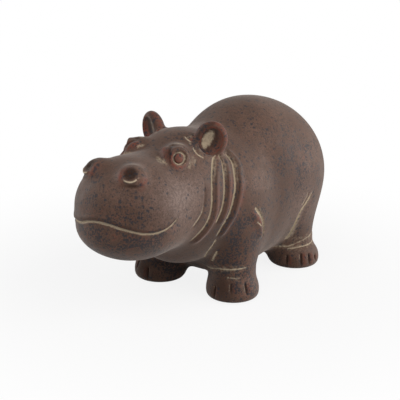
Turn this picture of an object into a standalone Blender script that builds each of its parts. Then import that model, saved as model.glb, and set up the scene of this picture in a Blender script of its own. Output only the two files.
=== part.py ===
"""Hippopotamus statue, cast in one piece in brown clay.

The animal stands on four short legs and faces -Y, with +X on its left and +Z up. The origin is on
the ground below the middle of its length and width. Sizes are in metres.

The body is made the way a modeller builds it up. Plain egg-shaped masses are joined into one blank,
the blank's skin settles onto a smooth blend of those masses, and the folds, mouth, toes and creases
are pressed into the skin.
"""
import bmesh
import bpy
import numpy as np
from mathutils import Matrix, Vector

# Trunk. Each mass is an egg: its middle, then its half sizes across, along and up.
BARREL_MIDDLE = (0.0, 0.0225, 0.0960)
BARREL_HALF = (0.0690, 0.0865, 0.0850)
RUMP_BEHIND_BARREL = 0.0415
RUMP_HALF = (0.0615, 0.0540, 0.0610)
CHEST_AHEAD_OF_BARREL = 0.0560
CHEST_BELOW_BARREL = 0.0235
CHEST_HALF = (0.0590, 0.0540, 0.0615)
TRUNK_BLEND = 0.030

# Neck and throat
NECK_AHEAD_OF_BARREL = 0.1025
NECK_ABOVE_BARREL = 0.0050
NECK_HALF = (0.0555, 0.0420, 0.0490)
THROAT_AHEAD_OF_NECK = 0.0200
THROAT_BELOW_NECK = 0.0210
THROAT_HALF = (0.0460, 0.0360, 0.0410)
THROAT_BLEND = 0.025

# Nape and tail
NAPE_AHEAD_OF_BARREL = 0.0760
NAPE_ABOVE_BARREL = 0.0160
NAPE_HALF = (0.0480, 0.0420, 0.0450)
TAIL_TOP_HEIGHT = 0.1220
TAIL_LENGTH = 0.0400
TAIL_RADIUS = 0.0070
TAIL_TIP_RADIUS = 0.0045
TAIL_TOP_BURIED = 0.0030
TAIL_PROUD = 0.0040
TAIL_BLEND = 0.005

# Head
SKULL_AHEAD_OF_NECK = 0.0110
SKULL_ABOVE_NECK = 0.0285
SKULL_HALF = (0.0425, 0.0415, 0.0395)
MUZZLE_AHEAD_OF_SKULL = 0.0690
MUZZLE_BELOW_SKULL = 0.0200
MUZZLE_HALF = (0.0530, 0.0510, 0.0470)
JAW_BEHIND_MUZZLE = 0.0020
JAW_BELOW_MUZZLE = 0.0185
JAW_HALF = (0.0480, 0.0520, 0.0275)
CHEEK_OUT = 0.0240
CHEEK_AHEAD_OF_SKULL = 0.0200
CHEEK_BELOW_SKULL = 0.0235
CHEEK_HALF = (0.0260, 0.0340, 0.0350)
HEAD_BLEND = 0.030
JAW_BLEND = 0.012
CHEEK_BLEND = 0.025
HEAD_TO_NECK_BLEND = 0.016
MIDLINE_SOFTNESS = 0.003

# Legs. The feet are flat underneath and stand on the ground.
FORELEG_OUT = 0.0455
FORELEG_AHEAD_OF_CHEST = 0.0250
FORELEG_TOP_RADIUS = 0.0355
FORELEG_ANKLE_RADIUS = 0.0215
FOREFOOT_HALF = (0.0265, 0.0260, 0.0245)
HINDLEG_OUT = 0.0440
HINDLEG_AHEAD_OF_RUMP = 0.0060
HINDLEG_TOP_RADIUS = 0.0365
HINDLEG_ANKLE_RADIUS = 0.0180
HINDFOOT_HALF = (0.0270, 0.0260, 0.0220)
LEG_TOP_HEIGHT = 0.100
LEG_TOP_INSET = 0.016
LEG_TOP_TOWARDS_MIDDLE = 0.0145
ANKLE_HEIGHT = 0.030
FOOT_MIDDLE_HEIGHT = 0.008
FOOT_AHEAD_OF_LEG = 0.003
FOOT_BLEND = 0.006
LEG_BLEND = 0.018
# Grooves between the toes: the angle round the foot from its front, and where each starts and stops
FORETOE_GROOVES = ((-9, 0.005, 0.018), (31, 0.012, 0.0225), (67, 0.010, 0.0215))
HINDTOE_GROOVES = ((16, 0.005, 0.017), (50, 0.005, 0.019), (71, 0.006, 0.018), (92, 0.008, 0.015))
SOLE_EDGE_RADIUS = 0.005
SOLE_FLATNESS = 0.0001

# Brows, eyes, nostrils and ears
BROW_OUT = 0.0225
BROW_AHEAD_OF_SKULL = 0.0305
BROW_ABOVE_SKULL = 0.0235
BROW_HALF = (0.0095, 0.0115, 0.0100)
BROW_BLEND = 0.010
EYE_TURN = 51.5
EYE_REACH_BACK = 0.0140
EYEBALL_RADIUS = 0.0046
EYEBALL_SWELL = 0.0013
EYE_RING_RADIUS = 0.0055
EYE_RING_DEPTH = 0.0015
LID_RADIUS = 0.0082
LID_HEIGHT = 0.0016
LID_WIDTH = 0.0019
EYE_RING_WIDTH = 0.0024
LID_CREASE_DEPTH = 0.0010
LID_CREASE_WIDTH = 0.0022
# Small ovals beside the eye: middle (across, up), half sizes, turn in degrees, and depth or height
EYE_LOBE = ((-0.0113, 0.0038), (0.0028, 0.0066), -14.0, 0.0026)
EYE_GROOVE = ((-0.0078, 0.0032), (0.0010, 0.0066), -14.0, 0.0014)
EYE_HOLLOW = ((-0.0045, 0.0108), (0.0024, 0.0014), -15.0, 0.0016)
EYE_PIT = ((-0.0173, -0.0016), (0.0038, 0.0012), -24.0, 0.0010)
NOSE_OUT = 0.0210
NOSE_AHEAD_OF_MUZZLE = 0.0225
NOSE_ABOVE_MUZZLE = 0.0365
NOSE_HALF = (0.0100, 0.0105, 0.0095)
NOSE_BLEND = 0.012
NOSTRIL_TURN = 26.0
NOSTRIL_TILT = 16.0
NOSTRIL_REACH_BACK = 0.0120
NOSTRIL_POCKET = ((-0.0003, 0.0030), (0.0055, 0.0052), 0.0, 0.0038)
NOSTRIL_UNDER = ((0.0025, -0.0085), (0.0070, 0.0018), 0.0, 0.0010)
NOSTRIL_INNER_SIDE = ((-0.0098, 0.0010), (0.0026, 0.0060), 0.0, 0.0006)
NOSTRIL_OUTER_SIDE = ((0.0105, 0.0010), (0.0026, 0.0060), 0.0, 0.0006)
NOSTRIL_LEDGE = 0.0010
NOSTRIL_LEDGE_WIDTH = 0.0034
EAR_OUT = 0.0342
EAR_BEHIND_SKULL = 0.0078
EAR_ABOVE_SKULL = 0.0322
EAR_HALF = (0.0160, 0.0085, 0.0184)
EAR_TURN = 18.0
EAR_LEAN = 24.0
EAR_CUP_PLACE = (0.0018, 0.0010)
EAR_CUP_INSET = 0.0012
EAR_CUP_HALF = (0.0114, 0.0068, 0.0142)
EAR_EDGE_SOFTNESS = 0.0025
EAR_BLEND = 0.005

# Carved lines
FOLD_DEPTH = 0.0018
FOLD_WIDTH = 0.0036
FOLD_SWELL = 0.0019
ROLL_BEHIND_FOLD = 0.0055
ROLL_WIDTH = 0.0032
CHEEK_FOLD_DEPTH = 0.0009
CHEEK_FOLD_WIDTH = 0.0040
MOUTH_LENGTH = 0.0540
MOUTH_DROP = 0.0100
MOUTH_BELOW_MUZZLE = 0.0015
MOUTH_RIGHT_SAG = 0.0038
MOUTH_SAG_MIDDLE = -0.0190
MOUTH_SAG_WIDTH = 0.0140
MOUTH_DEPTH = 0.0018
MOUTH_WIDTH = 0.0032
LIP_SWELL = 0.0007
CREASE_DEPTH = 0.0020
CREASE_WIDTH = 0.0044
FLESH_AHEAD_OF_ARMPIT = 0.0060
FLESH_SWELL = 0.0016
GROIN_HOLLOW = 0.0010
GROIN_HOLLOW_BEHIND = 0.0040
FLESH_WIDTH = 0.0045
WRINKLE_DEPTH = 0.0009
WRINKLE_WIDTH = 0.0028
TOE_DEPTH = 0.0022
TOE_GROOVE_WIDTH = 0.0034

# Surface. The ears are hollowed in steps, each with a share of their depth and of evening out.
HOLLOWING_STEPS = ((0.0, 0.5), (0.3, 0.5), (0.6, 0.4), (0.8, 0.3), (1.0, 0.2))
SKIN_GRAIN = 0.0026
CARVED_GRAIN_STEPS = 2
CARVING_SHOWS = 0.00012
MOST_TRIANGLES = 11600
CLAY_COLOUR = (0.125, 0.095, 0.080, 1.0)
CLAY_ROUGHNESS = 0.62


def placed(start, across=0.0, ahead=0.0, up=0.0):
    """A point reckoned from another one, with ahead towards the nose."""
    return (start[0] + across, start[1] - ahead, start[2] + up)


RUMP_MIDDLE = placed(BARREL_MIDDLE, ahead=-RUMP_BEHIND_BARREL)
CHEST_MIDDLE = placed(BARREL_MIDDLE, ahead=CHEST_AHEAD_OF_BARREL, up=-CHEST_BELOW_BARREL)
NECK_MIDDLE = placed(BARREL_MIDDLE, ahead=NECK_AHEAD_OF_BARREL, up=NECK_ABOVE_BARREL)
NAPE_MIDDLE = placed(BARREL_MIDDLE, ahead=NAPE_AHEAD_OF_BARREL, up=NAPE_ABOVE_BARREL)
THROAT_MIDDLE = placed(NECK_MIDDLE, ahead=THROAT_AHEAD_OF_NECK, up=-THROAT_BELOW_NECK)
SKULL_MIDDLE = placed(NECK_MIDDLE, ahead=SKULL_AHEAD_OF_NECK, up=SKULL_ABOVE_NECK)
MUZZLE_MIDDLE = placed(SKULL_MIDDLE, ahead=MUZZLE_AHEAD_OF_SKULL, up=-MUZZLE_BELOW_SKULL)
JAW_MIDDLE = placed(MUZZLE_MIDDLE, ahead=-JAW_BEHIND_MUZZLE, up=-JAW_BELOW_MUZZLE)
CHEEK_MIDDLE = placed(SKULL_MIDDLE, CHEEK_OUT, CHEEK_AHEAD_OF_SKULL, -CHEEK_BELOW_SKULL)
BROW_MIDDLE = placed(SKULL_MIDDLE, BROW_OUT, BROW_AHEAD_OF_SKULL, BROW_ABOVE_SKULL)
NOSE_MIDDLE = placed(MUZZLE_MIDDLE, NOSE_OUT, NOSE_AHEAD_OF_MUZZLE, NOSE_ABOVE_MUZZLE)
EAR_MIDDLE = placed(SKULL_MIDDLE, EAR_OUT, -EAR_BEHIND_SKULL, EAR_ABOVE_SKULL)


def tail_at(height, proud):
    """A point of the tail's bone, which lies along the back of the barrel and rump."""
    reach = []
    for middle, half in ((BARREL_MIDDLE, BARREL_HALF), (RUMP_MIDDLE, RUMP_HALF)):
        level = (height - middle[2]) / half[2]
        reach.append(middle[1] + half[1] * np.sqrt(max(1 - level**2, 0.0)))
    return (0.0, max(reach) + proud, height)


TAIL_TOP = tail_at(TAIL_TOP_HEIGHT, -TAIL_TOP_BURIED)
TAIL_TIP = tail_at(TAIL_TOP_HEIGHT - TAIL_LENGTH, TAIL_PROUD)

# The masses on the middle plane, the ones that come in pairs, and the legs
TRUNK = (
    (BARREL_MIDDLE, BARREL_HALF),
    (RUMP_MIDDLE, RUMP_HALF),
    (CHEST_MIDDLE, CHEST_HALF),
    (NECK_MIDDLE, NECK_HALF),
    (NAPE_MIDDLE, NAPE_HALF),
)
PAIRS = ((CHEEK_MIDDLE, CHEEK_HALF), (BROW_MIDDLE, BROW_HALF), (NOSE_MIDDLE, NOSE_HALF))


def leg_of(out, along, lean, top_radius, ankle_radius, foot_half, toe_grooves):
    """The sizes of one leg, read by the blank, the skin and the carved toes."""
    return {
        "top": (out - LEG_TOP_INSET, along + lean, LEG_TOP_HEIGHT),
        "ankle": (out, along, ANKLE_HEIGHT),
        "foot": (out, along - FOOT_AHEAD_OF_LEG, FOOT_MIDDLE_HEIGHT),
        "top_radius": top_radius,
        "ankle_radius": ankle_radius,
        "foot_half": foot_half,
        "toe_grooves": toe_grooves,
    }


FORELEG = leg_of(
    FORELEG_OUT,
    CHEST_MIDDLE[1] - FORELEG_AHEAD_OF_CHEST,
    LEG_TOP_TOWARDS_MIDDLE,
    FORELEG_TOP_RADIUS,
    FORELEG_ANKLE_RADIUS,
    FOREFOOT_HALF,
    FORETOE_GROOVES,
)
HINDLEG = leg_of(
    HINDLEG_OUT,
    RUMP_MIDDLE[1] - HINDLEG_AHEAD_OF_RUMP,
    -LEG_TOP_TOWARDS_MIDDLE,
    HINDLEG_TOP_RADIUS,
    HINDLEG_ANKLE_RADIUS,
    HINDFOOT_HALF,
    HINDTOE_GROOVES,
)
LEGS = (FORELEG, HINDLEG)

# Carved lines as seen from the side, as (towards the tail, up) from the middle of the neck
NECK_FOLDS = (
    (
        (-0.004, 0.049),
        (-0.014, 0.041),
        (-0.022, 0.030),
        (-0.027, 0.016),
        (-0.030, 0.000),
        (-0.036, -0.013),
        (-0.049, -0.029),
    ),
    (
        (-0.003, 0.049),
        (-0.001, 0.041),
        (-0.005, 0.030),
        (-0.010, 0.015),
        (-0.015, 0.000),
        (-0.023, -0.015),
    ),
    (
        (0.011, 0.047),
        (0.013, 0.038),
        (0.009, 0.029),
        (0.005, 0.018),
        (0.000, 0.005),
        (-0.005, -0.008),
        (-0.013, -0.021),
        (-0.017, -0.031),
    ),
)
CHEEK_FOLD = (
    (-0.032, 0.033),
    (-0.036, 0.020),
    (-0.039, 0.010),
    (-0.043, 0.000),
    (-0.051, -0.008),
    (-0.058, -0.012),
)

# The same for the legs: towards the tail from the leg, and the height above the ground
ARMPIT_CREASE = ((0.001, 0.096), (0.008, 0.088), (0.014, 0.080), (0.018, 0.068), (0.018, 0.058))
ARMPIT_WRINKLE = ((0.005, 0.079), (0.009, 0.076), (0.013, 0.072))
GROIN_CREASE = (
    (-0.011, 0.088),
    (-0.020, 0.077),
    (-0.027, 0.068),
    (-0.029, 0.057),
    (-0.028, 0.043),
    (-0.027, 0.030),
)
GROIN_WRINKLE = ((-0.020, 0.088), (-0.024, 0.080), (-0.029, 0.073))

# Short lines in space, from the middle of the chest or of the skull
CHEST_WRINKLES = (
    (
        (0.050, -0.0615, -0.0025),
        (0.046, -0.0630, -0.0135),
        (0.041, -0.0630, -0.0195),
        (0.032, -0.0565, -0.0295),
    ),
    ((0.045, -0.0533, -0.0195), (0.040, -0.0515, -0.0265), (0.035, -0.0491, -0.0335)),
)
EAR_ROOT_CREASES = (
    ((0.0270, -0.010, 0.030), (0.030, -0.013, 0.027), (0.0355, -0.0128, 0.0222), (0.0402, -0.0083, 0.0182)),
    ((0.0140, -0.006, 0.037), (0.018, -0.009, 0.036), (0.0220, -0.0090, 0.0330), (0.0240, -0.0060, 0.0320)),
    ((0.0180, 0.004, 0.037), (0.020, -0.001, 0.036), (0.0200, -0.0050, 0.0350)),
)

# Lines as seen from in front of the eye or nostril, as (across, up)
LID_CREASE = ((0.0042, 0.0080), (0.0088, 0.0050), (0.0110, 0.0000))
NOSTRIL_CRESCENT = (
    (-0.0074, -0.0018),
    (-0.0034, -0.0042),
    (0.0013, -0.0049),
    (0.0050, -0.0030),
    (0.0086, 0.0008),
)

# Creases above each forefoot and hind foot: angles round the foot, heights, and share of the depth
ANKLE_RINGS = (
    (
        ((-80, -10, 32, 60, 90), (0.0260, 0.0327, 0.0338, 0.0345, 0.0350), 0.8),
        ((5, 19, 52, 75), (0.0258, 0.0256, 0.0252, 0.0255), 0.5),
    ),
    (
        ((-30, 12, 56, 110, 150), (0.0245, 0.0240, 0.0290, 0.0335, 0.0350), 0.6),
        ((0, 13, 54, 112, 140), (0.0215, 0.0219, 0.0236, 0.0248, 0.0255), 0.7),
    ),
)


def length(vectors):
    """The length of each row."""
    return np.sqrt(np.einsum("ij,ij->i", vectors, vectors))


def egg(points, middle, half):
    """Distance to an egg, below zero inside it."""
    local = (points - np.array(middle)) / np.array(half)
    reach = length(local)
    slope = length(local / np.array(half))
    return reach * (reach - 1) / np.maximum(slope, 1e-9)


def limb(points, top, bottom, top_radius, bottom_radius):
    """Distance to a round limb that tapers between its two ends."""
    top = np.array(top)
    bone = np.array(bottom) - top
    share = np.clip((points - top) @ bone / (bone @ bone), 0, 1)
    away = length(points - top - share[:, None] * bone)
    return away - (top_radius + (bottom_radius - top_radius) * share)


def joined(first, second, softness):
    """The nearer of two surfaces, with the corner between them filled."""
    overlap = np.maximum(softness - np.abs(first - second), 0) / softness
    return np.minimum(first, second) - overlap**2 * softness / 4


def without(first, second, softness):
    """The first solid less the second, with a rounded edge."""
    return -joined(-first, second, softness)


def ramp(values, low, high):
    """0 below low and 1 above high, with a smooth rise."""
    share = np.clip((values - low) / (high - low), 0, 1)
    return share**2 * (3 - 2 * share)


def turned(points, turn, tilt):
    """Points in axes turned outwards about Z, then leaned outwards about Y, both in degrees."""
    x, y, z = points.T
    c, s = np.cos(np.radians(turn)), np.sin(np.radians(turn))
    x, y = c * x + s * y, c * y - s * x
    c, s = np.cos(np.radians(tilt)), np.sin(np.radians(tilt))
    return np.stack([c * x - s * z, y, s * x + c * z], axis=1)


def facing(turn, tilt=0.0):
    """Axes (across, up, out) of something that faces outwards by turn and upwards by tilt, in degrees."""
    turn, tilt = np.radians(turn), np.radians(tilt)
    out = np.array((np.sin(turn) * np.cos(tilt), -np.cos(turn) * np.cos(tilt), np.sin(tilt)))
    across = np.array((np.cos(turn), np.sin(turn), 0.0))
    return np.stack([across, np.cross(out, across), out])


def one_side(points):
    """Both sides of the animal folded onto its left one, softly at the middle plane."""
    across = np.sqrt(points[:, 0] ** 2 + MIDLINE_SOFTNESS**2) - 0.2 * MIDLINE_SOFTNESS
    return np.stack([across, points[:, 1], points[:, 2]], axis=1)


def body(points, side):
    """Distance to the trunk, head and legs."""
    surface = egg(points, *TRUNK[0])
    for mass in TRUNK[1:]:
        surface = joined(surface, egg(points, *mass), TRUNK_BLEND)
    surface = joined(surface, egg(points, THROAT_MIDDLE, THROAT_HALF), THROAT_BLEND)
    surface = joined(surface, limb(points, TAIL_TOP, TAIL_TIP, TAIL_RADIUS, TAIL_TIP_RADIUS), TAIL_BLEND)
    head = egg(points, SKULL_MIDDLE, SKULL_HALF)
    head = joined(head, egg(points, MUZZLE_MIDDLE, MUZZLE_HALF), HEAD_BLEND)
    head = joined(head, egg(points, JAW_MIDDLE, JAW_HALF), JAW_BLEND)
    head = joined(head, egg(side, CHEEK_MIDDLE, CHEEK_HALF), CHEEK_BLEND)
    surface = joined(surface, head, HEAD_TO_NECK_BLEND)
    for leg in LEGS:
        shape = limb(side, leg["top"], leg["ankle"], leg["top_radius"], leg["ankle_radius"])
        shape = joined(shape, egg(side, leg["foot"], leg["foot_half"]), FOOT_BLEND)
        surface = joined(surface, shape, LEG_BLEND)
    surface = joined(surface, egg(side, BROW_MIDDLE, BROW_HALF), BROW_BLEND)
    return joined(surface, egg(side, NOSE_MIDDLE, NOSE_HALF), NOSE_BLEND)


def with_ears(surface, side, opened):
    """Round ears with a thick rim, cupped towards the front and side."""
    local = turned(side - np.array(EAR_MIDDLE), EAR_TURN, EAR_LEAN)
    surface = joined(surface, egg(local, (0, 0, 0), EAR_HALF), EAR_BLEND)
    cup_front = -EAR_HALF[1] - EAR_CUP_HALF[1] * (1.0 - opened) + EAR_CUP_INSET
    cup_middle = (EAR_CUP_PLACE[0], cup_front, EAR_CUP_PLACE[1])
    return without(surface, egg(local, cup_middle, EAR_CUP_HALF), EAR_EDGE_SOFTNESS)


def shape_at(points, opened=1.0):
    """Distance to the statue before it is carved, with the feet cut flat at the ground.

    The ears are hollowed by a share of their depth.
    """
    side = one_side(points)
    surface = with_ears(body(points, side), side, opened)
    return without(surface, points[:, 2], SOLE_EDGE_RADIUS)


def smooth_route(points, steps=5):
    """Points along a curve that passes through the given ones."""
    p = np.array(points)
    p = np.vstack([2 * p[0] - p[1], p, 2 * p[-1] - p[-2]])
    route = []
    for a, b, c, d in zip(p[:-3], p[1:-2], p[2:-1], p[3:]):
        for t in np.arange(steps) / steps:
            bend = (2 * a - 5 * b + 4 * c - d) * t**2 + (3 * b - a - 3 * c + d) * t**3
            route.append(b + ((c - a) * t + bend) / 2)
    route.append(p[-2])
    return np.array(route)


def beside(flat_points, route):
    """For each point its distance to a route, that distance with a sign, and how far along it lies.

    The sign is positive on the left of someone who walks the route with Y as up.
    """
    nearest = np.full(len(flat_points), np.inf)
    signed = np.zeros(len(flat_points))
    along = np.zeros(len(flat_points))
    steps = np.diff(route, axis=0)
    lengths = length(steps)
    walked = 0.0
    for start, step, step_length in zip(route[:-1], steps, lengths):
        share = np.clip((flat_points - start) @ step / step_length**2, 0, 1)
        away = flat_points - start - share[:, None] * step
        distance = length(away)
        closer = distance < nearest
        nearest[closer] = distance[closer]
        turn = step[0] * away[closer, 1] - step[1] * away[closer, 0]
        signed[closer] = np.sign(turn) * distance[closer]
        along[closer] = (walked + share[closer] * step_length) / lengths.sum()
        walked += step_length
    return nearest, signed, along


def valley(distance, width):
    """1 along a line and 0 at half its width, with a rounded floor."""
    return np.maximum(1 - (2 * distance / width) ** 2, 0) ** 2


def swell(signed, middle, width):
    """1 where the signed distance is at the middle, fading to both sides."""
    return np.exp(-(((signed - middle) / width) ** 2))


def fading(along, start, end):
    """1 along a line, fading over a share of its length at each end."""
    return ramp(along, 0, start) * ramp(1 - along, 0, end)


def near_route(points, route):
    """For each point its distance to a route, and how far along the nearest place lies."""
    nearest = np.full(len(points), np.inf)
    along = np.zeros(len(points))
    steps = np.diff(route, axis=0)
    lengths = length(steps)
    walked = 0.0
    for start, step, step_length in zip(route[:-1], steps, lengths):
        share = np.clip((points - start) @ step / step_length**2, 0, 1)
        distance = length(points - start - share[:, None] * step)
        closer = distance < nearest
        nearest[closer] = distance[closer]
        along[closer] = (walked + share[closer] * step_length) / lengths.sum()
        walked += step_length
    return nearest, along


def spot(across, up, middle, half, turn=0.0):
    """1 in the middle of a small oval on a flat view, fading outwards. It is turned anticlockwise."""
    c, s = np.cos(np.radians(turn)), np.sin(np.radians(turn))
    x, y = across - middle[0], up - middle[1]
    return swell(np.hypot((c * x + s * y) / half[0], (c * y - s * x) / half[1]), 0, 1)


def oval(across, up, sizes):
    """The depth or height that one of the small ovals gives."""
    middle, half, turn, depth = sizes
    return depth * spot(across, up, middle, half, turn)


class Skin:
    """The points of the skin, and how deep each is pressed in."""

    def __init__(self, points):
        self.points = points
        self.side = one_side(points)
        self.seen = points[:, 1:]
        self.depth = np.zeros(len(points))

    def press(self, depth):
        self.depth += depth


def seen_from_side(route, start, up=0.0):
    """A route in (Y, Z) from offsets to a start along Y and a height."""
    return smooth_route([(start + tail, up + height) for tail, height in route])


def laid_on_skin(route, start):
    """A smooth route in space from offsets to a start, moved onto the surface."""
    points = smooth_route(np.array(route) + start)
    for _ in range(4):
        points = on_surface(points)
    return points


def press_short_lines(skin, lines, start, fades):
    """Narrow wrinkles along routes in space."""
    for line in lines:
        distance, along = near_route(skin.side, laid_on_skin(line, start))
        skin.press(fading(along, *fades) * WRINKLE_DEPTH * valley(distance, WRINKLE_WIDTH))


def neck_lines(skin):
    """Folds behind the cheek, each a line with a roll of skin behind it, and wrinkles on the chest."""
    flank = ramp(skin.side[:, 0], 0.25 * NECK_HALF[0], 0.55 * NECK_HALF[0])
    for fold in NECK_FOLDS:
        route = seen_from_side(fold, NECK_MIDDLE[1], NECK_MIDDLE[2])
        distance, signed, along = beside(skin.seen, route)
        here = flank * fading(along, 0.06, 0.10)
        line = FOLD_DEPTH * valley(distance, FOLD_WIDTH)
        roll = FOLD_SWELL * swell(signed, ROLL_BEHIND_FOLD, ROLL_WIDTH)
        skin.press(here * (line - roll))
    distance, along = near_route(skin.seen, seen_from_side(CHEEK_FOLD, NECK_MIDDLE[1], NECK_MIDDLE[2]))
    skin.press(flank * fading(along, 0.25, 0.2) * CHEEK_FOLD_DEPTH * valley(distance, CHEEK_FOLD_WIDTH))
    press_short_lines(skin, CHEST_WRINKLES, CHEST_MIDDLE, (0.10, 0.10))


def mouth_line(skin):
    """The long mouth, which dips on each side and rises to its corner, under a fuller upper lip."""
    front = MUZZLE_MIDDLE[1] - MUZZLE_HALF[1]
    lowest = front + MOUTH_LENGTH / 2
    corner_height = MUZZLE_MIDDLE[2] - MOUTH_BELOW_MUZZLE
    sag = MOUTH_RIGHT_SAG * swell(skin.points[:, 0], MOUTH_SAG_MIDDLE, MOUTH_SAG_WIDTH)
    seen = skin.seen + np.stack([np.zeros(len(sag)), sag], axis=1)
    route = [(front - MOUTH_LENGTH / 2, corner_height)]
    for y in np.linspace(front, front + MOUTH_LENGTH, 13):
        rise = ((y - lowest) * 2 / MOUTH_LENGTH) ** 2
        route.append((y, corner_height - MOUTH_DROP * (1 - rise)))
    distance, signed, along = beside(seen, np.array(route))
    line = MOUTH_DEPTH * valley(distance, MOUTH_WIDTH)
    upper = swell(signed, MOUTH_WIDTH, MOUTH_WIDTH)
    lower = swell(signed, -MOUTH_WIDTH, MOUTH_WIDTH)
    skin.press(fading(along, 0.001, 0.06) * (line - LIP_SWELL * (upper - 0.5 * lower)))


def leg_creases(skin):
    """Creases where the legs meet the belly, with the flesh beside them swelling or falling away."""
    flank = ramp(skin.side[:, 0], 0.25 * FORELEG_OUT, 0.6 * FORELEG_OUT)
    distance, signed, along = beside(skin.seen, seen_from_side(ARMPIT_CREASE, FORELEG["ankle"][1]))
    flesh = FLESH_SWELL * swell(signed, -FLESH_AHEAD_OF_ARMPIT, FLESH_WIDTH)
    skin.press(flank * fading(along, 0.2, 0.2) * (CREASE_DEPTH * valley(distance, CREASE_WIDTH) - flesh))
    distance, signed, along = beside(skin.seen, seen_from_side(GROIN_CREASE, HINDLEG["ankle"][1]))
    hollow = GROIN_HOLLOW * swell(signed, GROIN_HOLLOW_BEHIND, FLESH_WIDTH)
    skin.press(flank * fading(along, 0.2, 0.1) * (CREASE_DEPTH * valley(distance, CREASE_WIDTH) + hollow))
    for wrinkle, leg in ((ARMPIT_WRINKLE, FORELEG), (GROIN_WRINKLE, HINDLEG)):
        distance, along = near_route(skin.seen, seen_from_side(wrinkle, leg["ankle"][1]))
        skin.press(flank * fading(along, 0.15, 0.15) * WRINKLE_DEPTH * valley(distance, WRINKLE_WIDTH))


EYE_AXES = facing(EYE_TURN)
EYE_MIDDLE = np.array(BROW_MIDDLE) + EYE_AXES[2] * np.mean(BROW_HALF)
NOSTRIL_AXES = facing(NOSTRIL_TURN, NOSTRIL_TILT)
NOSTRIL_MIDDLE = np.array(NOSE_MIDDLE) + NOSTRIL_AXES[2] * np.mean(NOSE_HALF)


def eyes(skin):
    """A domed eyeball in a groove and a ring of lid, with a lobe and hollows towards the nose."""
    local = (skin.side - EYE_MIDDLE) @ EYE_AXES.T
    across, up, out = local.T
    radius = np.hypot(across, up)
    above = 0.5 + 0.5 * np.cos(np.arctan2(up, across) - np.radians(60))
    ball = EYEBALL_SWELL * np.sqrt(np.maximum(1 - (radius / EYEBALL_RADIUS) ** 2, 0))
    ring = EYE_RING_DEPTH * valley(radius - EYE_RING_RADIUS, EYE_RING_WIDTH)
    lid = LID_HEIGHT * (1 + 0.5 * above) * swell(radius, LID_RADIUS, LID_WIDTH)
    away, along = near_route(local[:, :2], smooth_route(LID_CREASE))
    crease = LID_CREASE_DEPTH * fading(along, 0.2, 0.2) * valley(away, LID_CREASE_WIDTH)
    dents = oval(across, up, EYE_GROOVE) + oval(across, up, EYE_HOLLOW) + oval(across, up, EYE_PIT)
    here = ramp(out, -EYE_REACH_BACK, -0.7 * EYE_REACH_BACK)
    skin.press(here * (ring + crease + dents - ball - lid - oval(across, up, EYE_LOBE)))


def nostrils(skin):
    """A pocket under the hood of each mound, with a thin raised crescent as its lower lip."""
    across, up, out = ((skin.side - NOSTRIL_MIDDLE) @ NOSTRIL_AXES.T).T
    away, along = near_route(np.stack([across, up], axis=1), smooth_route(NOSTRIL_CRESCENT))
    ledge = fading(along, 0.25, 0.25) * valley(away, NOSTRIL_LEDGE_WIDTH)
    pocket = oval(across, up, NOSTRIL_POCKET) * (1 - ledge)
    sides = oval(across, up, NOSTRIL_INNER_SIDE) + oval(across, up, NOSTRIL_OUTER_SIDE)
    here = ramp(out, -NOSTRIL_REACH_BACK, -0.7 * NOSTRIL_REACH_BACK)
    skin.press(here * (pocket + oval(across, up, NOSTRIL_UNDER) - NOSTRIL_LEDGE * ledge - sides))


def ear_roots(skin):
    """A crease round the front of each ear's root, and shorter ones beside it on the skull."""
    press_short_lines(skin, EAR_ROOT_CREASES, SKULL_MIDDLE, (0.15, 0.10))


def toes_and_ankles(skin):
    """Short grooves between the toes on the front and outer side of each foot, and creases above."""
    height = skin.side[:, 2]
    for leg, rings in zip(LEGS, ANKLE_RINGS):
        across = skin.side[:, 0] - leg["foot"][0]
        along = skin.side[:, 1] - leg["foot"][1]
        radius = np.hypot(across, along)
        angle = np.degrees(np.arctan2(across, -along))
        foot_radius = leg["foot_half"][0]
        on_foot = ramp(radius, 0.5 * foot_radius, 0.8 * foot_radius)
        for toe_angle, lowest, highest in leg["toe_grooves"]:
            away = radius * np.radians(np.clip(np.abs(angle - toe_angle), 0, 60))
            groove = 0.7 * valley(away, TOE_GROOVE_WIDTH) + 0.3 * valley(away, 3 * TOE_GROOVE_WIDTH)
            starts = ramp(height, lowest - TOE_GROOVE_WIDTH, lowest + TOE_GROOVE_WIDTH)
            stops = ramp(-height, -highest, TOE_GROOVE_WIDTH - highest)
            skin.press(on_foot * starts * stops * TOE_DEPTH * groove)
        on_leg = ramp(-radius, -1.7 * foot_radius, -1.35 * foot_radius)
        for angles, heights, share in rings:
            level = np.interp(angle, angles, heights)
            shown = ramp(angle, angles[0], angles[0] + 20) * ramp(-angle, -angles[-1], -angles[-1] + 30)
            line = valley(np.abs(height - level), WRINKLE_WIDTH)
            skin.press(on_leg * shown * share * WRINKLE_DEPTH * line)


def carved_depth(points):
    """How deep the lines are pressed in at each point of the skin, below zero where the skin swells."""
    skin = Skin(points)
    for carve in (neck_lines, mouth_line, leg_creases, eyes, nostrils, ear_roots, toes_and_ankles):
        carve(skin)
    return skin.depth


def surface_and_slope(points, opened=1.0, step=0.00005):
    """The distance to the statue, and the direction in which it grows at its own rate."""
    here = shape_at(points, opened)
    slope = np.empty_like(points)
    for axis in range(3):
        ahead = points.copy()
        ahead[:, axis] += step
        slope[:, axis] = (shape_at(ahead, opened) - here) / step
    return here, slope


def on_surface(points, opened=1.0):
    """Points moved one step nearer to the statue's surface."""
    here, slope = surface_and_slope(points, opened)
    steepness = np.maximum((slope**2).sum(axis=1), 0.3)[:, None]
    return points - here[:, None] * slope / steepness


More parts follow.
